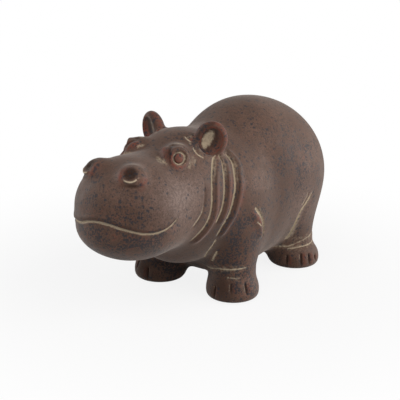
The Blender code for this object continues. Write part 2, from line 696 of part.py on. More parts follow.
def settled(points, edges):
    """Blank points moved onto the surface while the ears are hollowed, and evened out between moves."""
    count = np.bincount(edges.ravel(), minlength=len(points))[:, None]
    for opened, evening in HOLLOWING_STEPS:
        points = on_surface(points, opened)
        total = np.zeros_like(points)
        for axis in range(3):
            total[:, axis] = np.bincount(edges[:, 0], points[edges[:, 1], axis], len(points))
            total[:, axis] += np.bincount(edges[:, 1], points[edges[:, 0], axis], len(points))
        points = points + evening * (total / count - points)
    return on_surface(points)


def carved(points):
    """Settled points moved inwards or outwards by the carving."""
    _, slope = surface_and_slope(points)
    normal = slope / np.maximum(length(slope)[:, None], 1e-9)
    return points - carved_depth(points)[:, None] * normal


def centred(points):
    """Points moved along Y, so that the origin lies below the middle of the statue's length."""
    middle = (points[:, 1].min() + points[:, 1].max()) / 2
    return points - (0.0, middle, 0.0)


def points_of(mesh):
    """A mesh's points as an array."""
    flat = np.empty(len(mesh.vertices) * 3)
    mesh.vertices.foreach_get("co", flat)
    return flat.reshape(-1, 3)


def edges_of(mesh):
    """The two point numbers of each edge."""
    flat = np.empty(len(mesh.edges) * 2, dtype=np.int64)
    mesh.edges.foreach_get("vertices", flat)
    return flat.reshape(-1, 2)


def refine_where_carved(mesh):
    """Splits the faces that carry carving, so that a narrow line has points on its floor and both edges."""
    depth = np.abs(carved_depth(points_of(mesh)))
    work = bmesh.new()
    work.from_mesh(mesh)
    bmesh.ops.triangulate(work, faces=work.faces)
    shows = depth > CARVING_SHOWS
    edges = [edge for edge in work.edges if shows[edge.verts[0].index] or shows[edge.verts[1].index]]
    bmesh.ops.subdivide_edges(work, edges=edges, cuts=1)
    bmesh.ops.triangulate(work, faces=work.faces)
    work.to_mesh(mesh)
    work.free()
    mesh.vertices.foreach_set("co", on_surface(points_of(mesh)).ravel())


def add_egg(mesh, middle, half, lean=Matrix()):
    """One egg of the blank."""
    place = Matrix.Translation(middle) @ lean @ Matrix.Diagonal((*half, 1))
    bmesh.ops.create_uvsphere(mesh, u_segments=20, v_segments=12, radius=1, matrix=place)


def add_limb(mesh, top, bottom, top_radius, bottom_radius):
    """One tapered leg of the blank."""
    bone = Vector(bottom) - Vector(top)
    turn = bone.to_track_quat("Z", "Y").to_matrix().to_4x4()
    place = Matrix.Translation((Vector(top) + Vector(bottom)) / 2) @ turn
    bmesh.ops.create_cone(
        mesh,
        cap_ends=True,
        segments=32,
        radius1=top_radius,
        radius2=bottom_radius,
        depth=bone.length,
        matrix=place,
    )


def make_blank():
    """All the masses in one object, joined into one closed skin by a Remesh modifier."""
    mesh = bmesh.new()
    add_limb(mesh, TAIL_TOP, TAIL_TIP, TAIL_RADIUS, TAIL_TIP_RADIUS)
    for mass in TRUNK + ((THROAT_MIDDLE, THROAT_HALF), (SKULL_MIDDLE, SKULL_HALF)):
        add_egg(mesh, *mass)
    for mass in ((MUZZLE_MIDDLE, MUZZLE_HALF), (JAW_MIDDLE, JAW_HALF)):
        add_egg(mesh, *mass)
    for side in (1, -1):
        for middle, half in PAIRS:
            add_egg(mesh, (side * middle[0], middle[1], middle[2]), half)
        turn = Matrix.Rotation(np.radians(side * EAR_TURN), 4, "Z")
        lean = Matrix.Rotation(np.radians(side * EAR_LEAN), 4, "Y")
        add_egg(mesh, (side * EAR_MIDDLE[0], EAR_MIDDLE[1], EAR_MIDDLE[2]), EAR_HALF, turn @ lean)
        for leg in LEGS:
            ends = [(side * x, y, z) for x, y, z in (leg["top"], leg["ankle"])]
            add_limb(mesh, *ends, leg["top_radius"], leg["ankle_radius"])
            x, y, z = leg["foot"]
            add_egg(mesh, (side * x, y, z), leg["foot_half"])
    blank = bpy.data.objects.new("blank", bpy.data.meshes.new("blank"))
    mesh.to_mesh(blank.data)
    mesh.free()
    remesh = blank.modifiers.new("one skin", "REMESH")
    remesh.mode = "VOXEL"
    remesh.voxel_size = SKIN_GRAIN
    return blank


def clay():
    """Matt brown fired clay."""
    material = bpy.data.materials.new("brown clay")
    material.use_nodes = True
    shader = material.node_tree.nodes["Principled BSDF"]
    shader.inputs["Base Color"].default_value = CLAY_COLOUR
    shader.inputs["Roughness"].default_value = CLAY_ROUGHNESS
    shader.inputs["Metallic"].default_value = 0.0
    return material


def as_evaluated(thing, name):
    """A new mesh of an object with its modifiers carried out."""
    graph = bpy.context.evaluated_depsgraph_get()
    mesh = bpy.data.meshes.new_from_object(thing.evaluated_get(graph))
    mesh.name = name
    return mesh


def thinned(mesh):
    """The mesh with few enough triangles, and with nothing left below the soles."""
    fine = bpy.data.objects.new("fine statue", mesh)
    bpy.context.scene.collection.objects.link(fine)
    fewer = fine.modifiers.new("fewer faces", "DECIMATE")
    fewer.ratio = min(1.0, MOST_TRIANGLES / len(mesh.polygons))
    fewer.use_collapse_triangulate = True
    thin = as_evaluated(fine, "hippopotamus")
    bpy.data.objects.remove(fine)
    points = points_of(thin)
    points[:, 2] = np.where(points[:, 2] < SOLE_FLATNESS, 0.0, points[:, 2])
    thin.vertices.foreach_set("co", points.ravel())
    return thin


def make_statue(blank, collection):
    """The blank's skin settled, carved, centred and thinned."""
    mesh = as_evaluated(blank, "fine skin")
    mesh.vertices.foreach_set("co", settled(points_of(mesh), edges_of(mesh)).ravel())
    for _ in range(CARVED_GRAIN_STEPS):
        refine_where_carved(mesh)
    mesh.vertices.foreach_set("co", centred(carved(points_of(mesh))).ravel())
    mesh = thinned(mesh)
    mesh.materials.append(clay())
    mesh.shade_smooth()
    mesh.update()
    collection.objects.link(bpy.data.objects.new("hippopotamus", mesh))


def main():
    for old in list(bpy.data.objects):
        bpy.data.objects.remove(old)
    parts = bpy.data.collections.new("hippopotamus statue")
    guides = bpy.data.collections.new("guides")
    for collection in (parts, guides):
        bpy.context.scene.collection.children.link(collection)
    blank = make_blank()
    guides.objects.link(blank)
    blank.hide_render = True
    blank.display_type = "WIRE"
    bpy.context.view_layer.update()
    make_statue(blank, parts)


main()
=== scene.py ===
"""The hippopotamus statue dressed for its photograph: washed and speckled clay, a pale floor, soft light.

The statue faces -Y, with +X on its left and +Z up, and sizes are in metres. Its skin settles onto the same
masses as the CAD model's, on a finer grain, so that folds, eyes, nostrils, ears and toes can be cut in full.
While a line is cut, its tones are kept beside it: cream that a wash leaves in it, red where an edge is
rubbed through, and painted shade where it is deep or turned from the light.
"""

import bmesh
import bpy
import numpy as np
from mathutils import Matrix, Vector


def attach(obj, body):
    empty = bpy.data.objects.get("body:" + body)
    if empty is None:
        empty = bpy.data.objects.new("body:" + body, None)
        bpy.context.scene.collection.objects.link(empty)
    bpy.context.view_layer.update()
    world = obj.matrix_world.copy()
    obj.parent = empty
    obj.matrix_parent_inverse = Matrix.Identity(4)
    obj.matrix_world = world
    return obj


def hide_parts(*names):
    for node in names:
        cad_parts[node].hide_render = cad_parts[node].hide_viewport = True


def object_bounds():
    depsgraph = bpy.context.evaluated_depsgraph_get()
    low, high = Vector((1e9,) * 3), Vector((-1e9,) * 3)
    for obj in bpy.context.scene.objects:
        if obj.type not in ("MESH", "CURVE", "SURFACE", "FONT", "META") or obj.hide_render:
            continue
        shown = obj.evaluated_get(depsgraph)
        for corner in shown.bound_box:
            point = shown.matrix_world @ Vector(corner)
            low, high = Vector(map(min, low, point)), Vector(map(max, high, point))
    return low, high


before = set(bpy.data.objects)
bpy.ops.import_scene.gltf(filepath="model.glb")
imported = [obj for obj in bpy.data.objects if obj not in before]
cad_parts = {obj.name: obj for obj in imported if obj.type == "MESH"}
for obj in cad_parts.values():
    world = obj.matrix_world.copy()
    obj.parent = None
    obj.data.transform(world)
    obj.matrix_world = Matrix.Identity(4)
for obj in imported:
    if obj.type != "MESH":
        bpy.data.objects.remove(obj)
cad_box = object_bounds()

# Trunk. Each mass is an egg: its middle, or how far that lies across, ahead and up from another's, and its
# half sizes across, along and up.
BARREL_MIDDLE = (0.0, 0.0225, 0.096)
BARREL_HALF = (0.069, 0.0865, 0.085)
RUMP_FROM_BARREL = (0.0, -0.0415, 0.0)
RUMP_HALF = (0.0615, 0.054, 0.061)
CHEST_FROM_BARREL = (0.0, 0.056, -0.0235)
CHEST_HALF = (0.059, 0.054, 0.0615)
TRUNK_BLEND = 0.03

# Neck and throat
NECK_FROM_BARREL = (0.0, 0.1025, 0.005)
NECK_HALF = (0.0555, 0.042, 0.049)
THROAT_FROM_NECK = (0.0, 0.02, -0.021)
THROAT_HALF = (0.046, 0.036, 0.041)
THROAT_BLEND = 0.025

# Nape and tail
NAPE_FROM_BARREL = (0.0, 0.076, 0.016)
NAPE_HALF = (0.048, 0.042, 0.045)
TAIL_TOP_HEIGHT = 0.122
TAIL_LENGTH = 0.04
TAIL_RADIUS = 0.007
TAIL_TIP_RADIUS = 0.0045
TAIL_TOP_BURIED = 0.003
TAIL_PROUD = 0.004
TAIL_BLEND = 0.005

# Head
SKULL_FROM_NECK = (0.0, 0.011, 0.0285)
SKULL_HALF = (0.0425, 0.0415, 0.0395)
MUZZLE_FROM_SKULL = (0.0, 0.069, -0.02)
MUZZLE_HALF = (0.053, 0.051, 0.047)
JAW_FROM_MUZZLE = (0.0, -0.002, -0.0185)
JAW_HALF = (0.048, 0.052, 0.0275)
CHEEK_FROM_SKULL = (0.024, 0.02, -0.0235)
CHEEK_HALF = (0.026, 0.034, 0.035)
HEAD_BLEND = 0.03
JAW_BLEND = 0.012
CHEEK_BLEND = 0.025
HEAD_TO_NECK_BLEND = 0.016
MIDLINE_SOFTNESS = 0.003

# Legs. The feet are flat underneath and stand on the ground.
FORELEG_OUT = 0.0455
FORELEG_AHEAD_OF_CHEST = 0.025
FORELEG_TOP_RADIUS = 0.0355
FORELEG_ANKLE_RADIUS = 0.0215
FOREFOOT_HALF = (0.0265, 0.026, 0.0245)
HINDLEG_OUT = 0.044
HINDLEG_AHEAD_OF_RUMP = 0.006
HINDLEG_TOP_RADIUS = 0.0365
HINDLEG_ANKLE_RADIUS = 0.018
HINDFOOT_HALF = (0.027, 0.026, 0.022)
LEG_TOP_HEIGHT = 0.1
LEG_TOP_INSET = 0.016
LEG_TOP_TOWARDS_MIDDLE = 0.0145
ANKLE_HEIGHT = 0.03
FOOT_MIDDLE_HEIGHT = 0.008
FOOT_AHEAD_OF_LEG = 0.003
FOOT_BLEND = 0.006
LEG_BLEND = 0.018
# Grooves between the toes: the angle round the foot from its front, and where each starts and stops
FORETOE_GROOVES = ((-9, 0.005, 0.018), (31, 0.012, 0.0225), (67, 0.01, 0.0215))
HINDTOE_GROOVES = ((16, 0.005, 0.017), (50, 0.005, 0.019), (71, 0.006, 0.018), (92, 0.008, 0.015))
SOLE_EDGE_RADIUS = 0.005
SOLE_FLATNESS = 0.0001

# Brows, eyes, nostrils and ears
BROW_FROM_SKULL = (0.0225, 0.0305, 0.0235)
BROW_HALF = (0.0095, 0.0115, 0.01)
BROW_BLEND = 0.01
EYE_TURN = 51.5
EYE_REACH_BACK = 0.014
EYEBALL_RADIUS = 0.0046
EYEBALL_SWELL = 0.0013
EYE_RING_RADIUS = 0.0055
EYE_RING_DEPTH = 0.0015
LID_RADIUS = 0.0082
LID_HEIGHT = 0.0016
LID_WIDTH = 0.0019
EYE_RING_WIDTH = 0.0024
LID_CREASE_DEPTH = 0.001
LID_CREASE_WIDTH = 0.0022
# Small ovals beside the eye: middle (across, up), half sizes, turn in degrees, and depth or height
EYE_LOBE = ((-0.0113, 0.0038), (0.0028, 0.0066), -14.0, 0.0026)
EYE_GROOVE = ((-0.0078, 0.0032), (0.001, 0.0066), -14.0, 0.0014)
EYE_HOLLOW = ((-0.0045, 0.0108), (0.0024, 0.0014), -15.0, 0.0016)
EYE_PIT = ((-0.0173, -0.0016), (0.0038, 0.0012), -24.0, 0.001)
NOSE_FROM_MUZZLE = (0.021, 0.0225, 0.0365)
NOSE_HALF = (0.01, 0.0105, 0.0095)
NOSE_BLEND = 0.012
NOSTRIL_TURN = 26.0
NOSTRIL_TILT = 16.0
NOSTRIL_REACH_BACK = 0.012
NOSTRIL_POCKET = ((-0.0003, 0.003), (0.0055, 0.0052), 0.0, 0.0038)
NOSTRIL_UNDER = ((0.0025, -0.0085), (0.007, 0.0018), 0.0, 0.001)
NOSTRIL_INNER_SIDE = ((-0.0098, 0.001), (0.0026, 0.006), 0.0, 0.0006)
NOSTRIL_OUTER_SIDE = ((0.0105, 0.001), (0.0026, 0.006), 0.0, 0.0006)
NOSTRIL_LEDGE = 0.001
NOSTRIL_LEDGE_WIDTH = 0.0034
EAR_FROM_SKULL = (0.0342, -0.0078, 0.0322)
EAR_HALF = (0.016, 0.0085, 0.0184)
EAR_TURN = 18.0
EAR_LEAN = 24.0
EAR_CUP_PLACE = (0.0018, 0.001)
EAR_CUP_INSET = 0.0012
EAR_CUP_HALF = (0.0114, 0.0068, 0.0142)
EAR_EDGE_SOFTNESS = 0.0025
EAR_BLEND = 0.005

# Carved lines
FOLD_DEPTH = 0.0018
FOLD_WIDTH = 0.0036
FOLD_SWELL = 0.0019
ROLL_BEHIND_FOLD = 0.0055
ROLL_WIDTH = 0.0032
CHEEK_FOLD_DEPTH = 0.0009
CHEEK_FOLD_WIDTH = 0.004
MOUTH_LENGTH = 0.054
MOUTH_DROP = 0.01
MOUTH_BELOW_MUZZLE = 0.0015
MOUTH_RIGHT_SAG = 0.0038
MOUTH_SAG_MIDDLE = -0.019
MOUTH_SAG_WIDTH = 0.014
MOUTH_DEPTH = 0.0018
MOUTH_WIDTH = 0.0032
LIP_SWELL = 0.0007
CREASE_DEPTH = 0.002
CREASE_WIDTH = 0.0044
FLESH_AHEAD_OF_ARMPIT = 0.006
FLESH_SWELL = 0.0016
GROIN_HOLLOW = 0.001
GROIN_HOLLOW_BEHIND = 0.004
FLESH_WIDTH = 0.0045
WRINKLE_DEPTH = 0.0009
WRINKLE_WIDTH = 0.0028
TOE_DEPTH = 0.0022
TOE_GROOVE_WIDTH = 0.0034

# Surface. The ears are hollowed in steps, each with a share of their depth and of evening out.
HOLLOWING_STEPS = ((0.0, 0.5), (0.3, 0.5), (0.6, 0.4), (0.8, 0.3), (1.0, 0.2))
SKIN_GRAIN = 0.0026

# Tones that the carving leaves at each point, and the depths and strength from which the skin is refined
# The shade tone is painted shade, and the rubbed tone is rubbed clay that also paints highlights.
TONES = ("cream", "red", "shade", "rubbed", "speckled")
STRONGEST_TONE = 1.2
REFINED_WHERE_DEEPER = (0.00013, 0.0004)
REFINED_WHERE_STRONGER = 0.4

# Colours of the clay, its grains, its wash and its rubbed edges. The deep colour also serves as painted
# shade, and the rubbed colour also paints highlights.
CLAY_DARK = (0.07, 0.038, 0.026, 1)
CLAY_LIGHT = (0.105, 0.061, 0.044, 1)
CLAY_WARM = (0.105, 0.053, 0.035, 1)
CLAY_RUBBED_AND_HIGHLIGHT = (0.165, 0.115, 0.098, 1)
DEEP_CLAY_AND_SHADE = (0.02, 0.01, 0.007, 1)
GRAIN_DARK = (0.018, 0.019, 0.024, 1)
RUBBED_RED = (0.155, 0.036, 0.021, 1)
WASH_CREAM = (0.43, 0.35, 0.245, 1)
DUST_TINT = (1.0, 0.92, 0.85, 1)
SHINE = 0.15
SHINE_IN_SHADE = 0.05
DUSTY_SHEEN = 0.2

# Sizes of the clay's patches, mottling, grains and crumbs of wash, and the height of its bumps
BROAD_PATCH = 0.045
PATCH = 0.009
MOTTLE = 0.003
FINE_MOTTLE = 0.0012
GRAIN_CLUSTER = 0.016
GRAIN = 0.0034
GRAIN_REACH = 0.58
SPECK = 0.0017
CRUMB = 0.0026
BUMP_HEIGHT = 0.0006

# Cream in each line: strength and width in it, then of the haze beside it
FOLD_WASH = (1.2, 0.003)
CHEEK_FOLD_WASH = (0.6, 0.0026)
CHEST_WASH = (0.9, 0.0024, 0.27, 0.003)
MOUTH_WASH = (1.1, 0.0032)
ARMPIT_WASH = (0.95, 0.0034, 0.42, 0.004)
GROIN_WASH = (1.3, 0.0052, 0.45, 0.007)
LEG_WRINKLE_WASH = (0.7, 0.0028)
EAR_ROOT_WASH = (0.75, 0.002, 0.225, 0.003)
EAR_STREAK_WASH = (0.65, 0.0022)
ANKLE_WASH = (0.6, 0.002, 0.34, 0.0045)
CRESCENT_WASH = (1.0, 0.0021)
BROW_WASH_WIDTH = 0.0018

# Tones beside each line: strength, where along it they are none and full, and middle and width across it.
# For a toe's groove, along it means up it.
EVERYWHERE = (-2, -1)
FOLD_TONES = (
    ("cream", 0.3, (0.55, 0.15), (0.0016, 0.0026)),
    ("cream", 0.24, (0.25, 0.05), (0.0, 0.006)),
    # Painted shade on the side of each fold that turns away from the light
    ("shade", 0.55, (0.12, 0.3), (0.0034, 0.0012)),
    ("red", 0.65, (0.2, 0.45), (0.008, 0.003)),
)
CHEEK_FOLD_WASHED_FROM = (0.3, 0.6)
# Painted shade beside the cheek fold
CHEEK_FOLD_TONES = (("shade", 0.3, EVERYWHERE, (0.003, 0.003)),)
# Painted shadow under the upper lip
MOUTH_TONES = (("shade", 0.5, EVERYWHERE, (0.0026, 0.0018)),)
ARMPIT_TONES = (("red", 0.8, EVERYWHERE, (-0.0045, 0.0022)),)
GROIN_TONES = (("speckled", 1.0, EVERYWHERE, (0.01, 0.005)),)
TOE_TONES = (
    ("red", 0.6, EVERYWHERE, (0.0036, 0.002)),
    ("cream", 0.3, (0.008, 0.014), (-0.0016, 0.0006)),
)

# Tones in small ovals beside the eye and nostril: strength, middle (across, up), half sizes and turn
EYE_TONES = (
    ("cream", 0.55, (-0.0165, -0.0014), (0.005, 0.0018), -28),
    ("cream", 0.45, (0.01, -0.0078), (0.0018, 0.0045), -25),
    ("cream", 0.4, (0.015, -0.005), (0.003, 0.0045), -25),
    ("red", 1.0, (-0.0064, 0.0012), (0.0014, 0.0046), -24),
    ("red", 1.0, (-0.0112, 0.0048), (0.0027, 0.0062), -14),
    # Painted shade in the hollow between the lobe and the lid, and in the groove and hollow near the nose
    ("shade", 0.8, (-0.0078, 0.0052), (0.0013, 0.0062), -24),
    ("shade", 1.0, *EYE_GROOVE[:3]),
    ("shade", 1.0, *EYE_HOLLOW[:3]),
)
NOSTRIL_TONES = (
    ("red", 0.9, (-0.0092, -0.0008), (0.0027, 0.0062), 10),
    ("red", 0.9, (0.0112, -0.005), (0.0026, 0.0058), -15),
    ("red", 0.6, (-0.006, 0.006), (0.0032, 0.003), 0),
    # Painted highlight, in cream, on the lit side of the hood
    ("cream", 0.32, (0.006, 0.0105), (0.007, 0.002), -25),
    # Painted shadow under the crescent
    ("shade", 1.0, *NOSTRIL_UNDER[:3]),
)

# Rings of tone round the eye, by radius and width
EYE_WASH_RING = (0.0057, 0.0017)
LID_WASH_RING = (0.0076, 0.0005)
LID_RED_RING = (0.009, 0.0016)
EYEBALL_SHADE_RING = (0.0046, 0.0012)
EYEBALL_RED_WITHIN = (0.0052, 0.0042)

# The cream oval in the ear's cup: middle, half sizes and turn
EAR_WASH = ((-0.0026, -0.0008), (0.0054, 0.0118), -6)

# Where the grains lie thickest: strength, then where they are none and full by height, and along from ahead
# and from behind
SPECKLED_ZONES = (
    (1.0, (0.112, 0.098), EVERYWHERE, (-0.15, -0.165)),
    (0.7, (0.14, 0.12), EVERYWHERE, (-0.165, -0.19)),
    (1.0, (0.105, 0.08), (-0.095, -0.075), (-0.03, -0.045)),
)
SPECKLED_FLANK = (0.9, (0.062, 0.03, 0.11), (0.06, 0.065, 0.05))
SPECKLED_NECK = (0.8, (0.06, 0.08), (-0.085, 0.025))
SPECKLED_ELSEWHERE = 0.4

# The eye is a little wider than tall
EYE_SQUASH = 1.13

# Clouds of dusty wash, of rubbed clay that also paints highlights, and of painted shade: strength, middle
# and half sizes
DUST = (
    (0.3, (0.034, -0.083, 0.152), (0.016, 0.02, 0.014)),
    (0.28, (0.036, -0.072, 0.147), (0.014, 0.01, 0.01)),
    (0.34, (0.054, 0.07, 0.032), (0.02, 0.04, 0.007)),
)
# Rubbed clay that also paints highlights: on the side of the muzzle, and low on the flank before the hind
# leg
RUBBED_AND_HIGHLIGHT_CLOUDS = (
    (1.0, (0.05, -0.15, 0.122), (0.03, 0.03, 0.026)),
    (0.8, (0.068, 0.03, 0.075), (0.018, 0.02, 0.03)),
)
# Painted shade: low on the neck above the foreleg, on the flank, on the side of the snout, and the head's
# shadow on the forefoot
PAINTED_SHADE_CLOUDS = (
    (0.62, (0.05, -0.096, 0.07), (0.022, 0.024, 0.034)),
    (0.28, (0.064, -0.006, 0.11), (0.03, 0.022, 0.055)),
    (0.22, (0.038, -0.192, 0.118), (0.02, 0.018, 0.022)),
    (0.8, (0.05, -0.088, 0.018), (0.016, 0.012, 0.022)),
)

# Streaks of wash before the ear
EAR_STREAKS = (
    ((0.02, -0.096, 0.164), (0.023, -0.101, 0.162), (0.026, -0.103, 0.159)),
    ((0.019, -0.102, 0.163), (0.018, -0.097, 0.165), (0.02, -0.091, 0.165)),
    ((0.032, -0.099, 0.156), (0.037, -0.098, 0.152), (0.04, -0.093, 0.149)),
)

# Pale streaks of wash on the brow, as seen from in front of the eye: (across, up, out)
BROW_EDGE = ((-0.0029, 0.009, -0.019), (0.003, 0.0104, -0.0118), (0.0121, 0.0074, -0.0177))
BROW_STREAK = ((-0.0152, 0.0022, -0.0072), (-0.0132, 0.0045, -0.0127), (-0.0082, 0.0071, -0.0183))

# Camera, lamps and world. Angles are in degrees, from the front round to the left side, and up.
CAMERA_TURN = 36.6
CAMERA_RISE = 17.33
CAMERA_DISTANCE = 1.1207
CAMERA_AIM = (-0.0154, -0.033, 0.0802)
CAMERA_LENS = 98.34
LAMP_AIM = (0, 0, 0.08)
LAMP_DISTANCE = 1.3
LAMP_SIZE = 1.0
WARM_TINT = (1.0, 0.98, 0.96)
PLAIN_TINT = (1.0, 0.98, 0.97)
LAMPS = (
    ("main lamp", 84, 34, 10.0, WARM_TINT),
    ("back lamp", 132, 12, 16.0, WARM_TINT),
    ("front lamp", 6, 46, 8.0, PLAIN_TINT),
    ("right lamp", -72, 12, 8.5, PLAIN_TINT),
)
WORLD_LIGHT = 0.19
WORLD_TINT = (0.92, 0.96, 1.0, 1)
WHITE = (1, 1, 1, 1)
FLOOR_REACH = 6.0
FLOOR_COLOUR = (0.6, 0.6, 0.6, 1)
FLOOR_SHADOW_REACH = (0.12, 0.42)
FLOOR_WHITE_UNDER_STATUE = 0.86


def placed(start, across, ahead, up):
    """A point reckoned from another one, with ahead towards the nose."""
    return (start[0] + across, start[1] - ahead, start[2] + up)


RUMP_MIDDLE = placed(BARREL_MIDDLE, *RUMP_FROM_BARREL)
CHEST_MIDDLE = placed(BARREL_MIDDLE, *CHEST_FROM_BARREL)
NECK_MIDDLE = placed(BARREL_MIDDLE, *NECK_FROM_BARREL)
NAPE_MIDDLE = placed(BARREL_MIDDLE, *NAPE_FROM_BARREL)
THROAT_MIDDLE = placed(NECK_MIDDLE, *THROAT_FROM_NECK)
SKULL_MIDDLE = placed(NECK_MIDDLE, *SKULL_FROM_NECK)
MUZZLE_MIDDLE = placed(SKULL_MIDDLE, *MUZZLE_FROM_SKULL)
JAW_MIDDLE = placed(MUZZLE_MIDDLE, *JAW_FROM_MUZZLE)
CHEEK_MIDDLE = placed(SKULL_MIDDLE, *CHEEK_FROM_SKULL)
BROW_MIDDLE = placed(SKULL_MIDDLE, *BROW_FROM_SKULL)
NOSE_MIDDLE = placed(MUZZLE_MIDDLE, *NOSE_FROM_MUZZLE)
EAR_MIDDLE = placed(SKULL_MIDDLE, *EAR_FROM_SKULL)


def tail_at(height, proud):
    """A point of the tail's bone, which lies along the back of the barrel and rump."""
    reach = []
    for middle, half in ((BARREL_MIDDLE, BARREL_HALF), (RUMP_MIDDLE, RUMP_HALF)):
        level = (height - middle[2]) / half[2]
        reach.append(middle[1] + half[1] * np.sqrt(max(1 - level**2, 0.0)))
    return (0.0, max(reach) + proud, height)


TAIL_TOP = tail_at(TAIL_TOP_HEIGHT, -TAIL_TOP_BURIED)
TAIL_TIP = tail_at(TAIL_TOP_HEIGHT - TAIL_LENGTH, TAIL_PROUD)

# The masses on the middle plane, the ones that come in pairs, and the legs
TRUNK = (
    (BARREL_MIDDLE, BARREL_HALF),
    (RUMP_MIDDLE, RUMP_HALF),
    (CHEST_MIDDLE, CHEST_HALF),
    (NECK_MIDDLE, NECK_HALF),
    (NAPE_MIDDLE, NAPE_HALF),
)
PAIRS = ((CHEEK_MIDDLE, CHEEK_HALF), (BROW_MIDDLE, BROW_HALF), (NOSE_MIDDLE, NOSE_HALF))


def leg_of(place, sizes):
    """The sizes of one leg, read by the blank, the skin and the carved toes."""
    out, along, lean = place
    top_radius, ankle_radius, foot_half, toe_grooves = sizes
    return {
        "top": (out - LEG_TOP_INSET, along + lean, LEG_TOP_HEIGHT),
        "ankle": (out, along, ANKLE_HEIGHT),
        "foot": (out, along - FOOT_AHEAD_OF_LEG, FOOT_MIDDLE_HEIGHT),
        "top_radius": top_radius,
        "ankle_radius": ankle_radius,
        "foot_half": foot_half,
        "toe_grooves": toe_grooves,
    }


FORELEG = leg_of(
    (FORELEG_OUT, CHEST_MIDDLE[1] - FORELEG_AHEAD_OF_CHEST, LEG_TOP_TOWARDS_MIDDLE),
    (FORELEG_TOP_RADIUS, FORELEG_ANKLE_RADIUS, FOREFOOT_HALF, FORETOE_GROOVES),
)
HINDLEG = leg_of(
    (HINDLEG_OUT, RUMP_MIDDLE[1] - HINDLEG_AHEAD_OF_RUMP, -LEG_TOP_TOWARDS_MIDDLE),
    (HINDLEG_TOP_RADIUS, HINDLEG_ANKLE_RADIUS, HINDFOOT_HALF, HINDTOE_GROOVES),
)
LEGS = (FORELEG, HINDLEG)

# Carved lines as seen from the side, as (towards the tail, up) from the middle of the neck
NECK_FOLDS = (
    (
        (-0.004, 0.049), (-0.014, 0.041), (-0.022, 0.03), (-0.027, 0.016),
        (-0.03, 0.0), (-0.036, -0.013), (-0.049, -0.029),
    ),
    (
        (-0.003, 0.049), (-0.001, 0.041), (-0.005, 0.03),
        (-0.01, 0.015), (-0.015, 0.0), (-0.023, -0.015),
    ),
    (
        (0.011, 0.047), (0.013, 0.038), (0.009, 0.029), (0.005, 0.018),
        (0.0, 0.005), (-0.005, -0.008), (-0.013, -0.021), (-0.017, -0.031),
    ),
)
CHEEK_FOLD = (
    (-0.032, 0.033), (-0.036, 0.02), (-0.039, 0.01),
    (-0.043, 0.0), (-0.051, -0.008), (-0.058, -0.012),
)

# The same for the legs: towards the tail from the leg, and the height above the ground
ARMPIT_CREASE = ((0.001, 0.096), (0.008, 0.088), (0.014, 0.08), (0.018, 0.068), (0.018, 0.058))
ARMPIT_WRINKLE = ((0.005, 0.079), (0.009, 0.076), (0.013, 0.072))
GROIN_CREASE = (
    (-0.011, 0.088), (-0.02, 0.077), (-0.027, 0.068),
    (-0.029, 0.057), (-0.028, 0.043), (-0.027, 0.03),
)
GROIN_WRINKLE = ((-0.02, 0.088), (-0.024, 0.08), (-0.029, 0.073))

# Short lines in space, from the middle of the chest or of the skull
CHEST_WRINKLES = (
    (
        (0.05, -0.0615, -0.0025), (0.046, -0.063, -0.0135),
        (0.041, -0.063, -0.0195), (0.032, -0.0565, -0.0295),
    ),
    ((0.045, -0.0533, -0.0195), (0.04, -0.0515, -0.0265), (0.035, -0.0491, -0.0335)),
)
EAR_ROOT_CREASES = (
    ((0.027, -0.01, 0.03), (0.03, -0.013, 0.027), (0.0355, -0.0128, 0.0222), (0.0402, -0.0083, 0.0182)),
    ((0.014, -0.006, 0.037), (0.018, -0.009, 0.036), (0.022, -0.009, 0.033), (0.024, -0.006, 0.032)),
    ((0.018, 0.004, 0.037), (0.02, -0.001, 0.036), (0.02, -0.005, 0.035)),
)

# Lines as seen from in front of the eye or nostril, as (across, up)
LID_CREASE = ((0.0042, 0.008), (0.0088, 0.005), (0.011, 0.0))
NOSTRIL_CRESCENT = (
    (-0.0074, -0.0018), (-0.0034, -0.0042), (0.0013, -0.0049), (0.005, -0.003), (0.0086, 0.0008),
)

# Creases above each forefoot and hind foot: angles round the foot, heights, and share of the depth
ANKLE_RINGS = (
    (
        ((-80, -10, 32, 60, 90), (0.026, 0.0327, 0.0338, 0.0345, 0.035), 0.8),
        ((5, 19, 52, 75), (0.0258, 0.0256, 0.0252, 0.0255), 0.5),
    ),
    (
        ((-30, 12, 56, 110, 150), (0.0245, 0.024, 0.029, 0.0335, 0.035), 0.6),
        ((0, 13, 54, 112, 140), (0.0215, 0.0219, 0.0236, 0.0248, 0.0255), 0.7),
    ),
)


def length(vectors):
    """The length of each row."""
    return np.sqrt(np.einsum("ij,ij->i", vectors, vectors))


def egg(points, middle, half):
    """Distance to an egg, below zero inside it."""
    local = (points - np.array(middle)) / np.array(half)
    reach = length(local)
    slope = length(local / np.array(half))
    return reach * (reach - 1) / np.maximum(slope, 1e-9)


def limb(points, top, bottom, top_radius, bottom_radius):
    """Distance to a round limb that tapers between its two ends."""
    top = np.array(top)
    bone = np.array(bottom) - top
    share = np.clip((points - top) @ bone / (bone @ bone), 0, 1)
    away = length(points - top - share[:, None] * bone)
    return away - (top_radius + (bottom_radius - top_radius) * share)


def joined(first, second, softness):
    """The nearer of two surfaces, with the corner between them filled."""
    overlap = np.maximum(softness - np.abs(first - second), 0) / softness
    return np.minimum(first, second) - overlap**2 * softness / 4


def without(first, second, softness):
    """The first solid less the second, with a rounded edge."""
    return -joined(-first, second, softness)


def ramp(values, low, high):
    """0 at low and beyond, 1 at high and beyond, with a smooth rise between. Low may be the larger one."""
    share = np.clip((values - low) / (high - low), 0, 1)
    return share**2 * (3 - 2 * share)


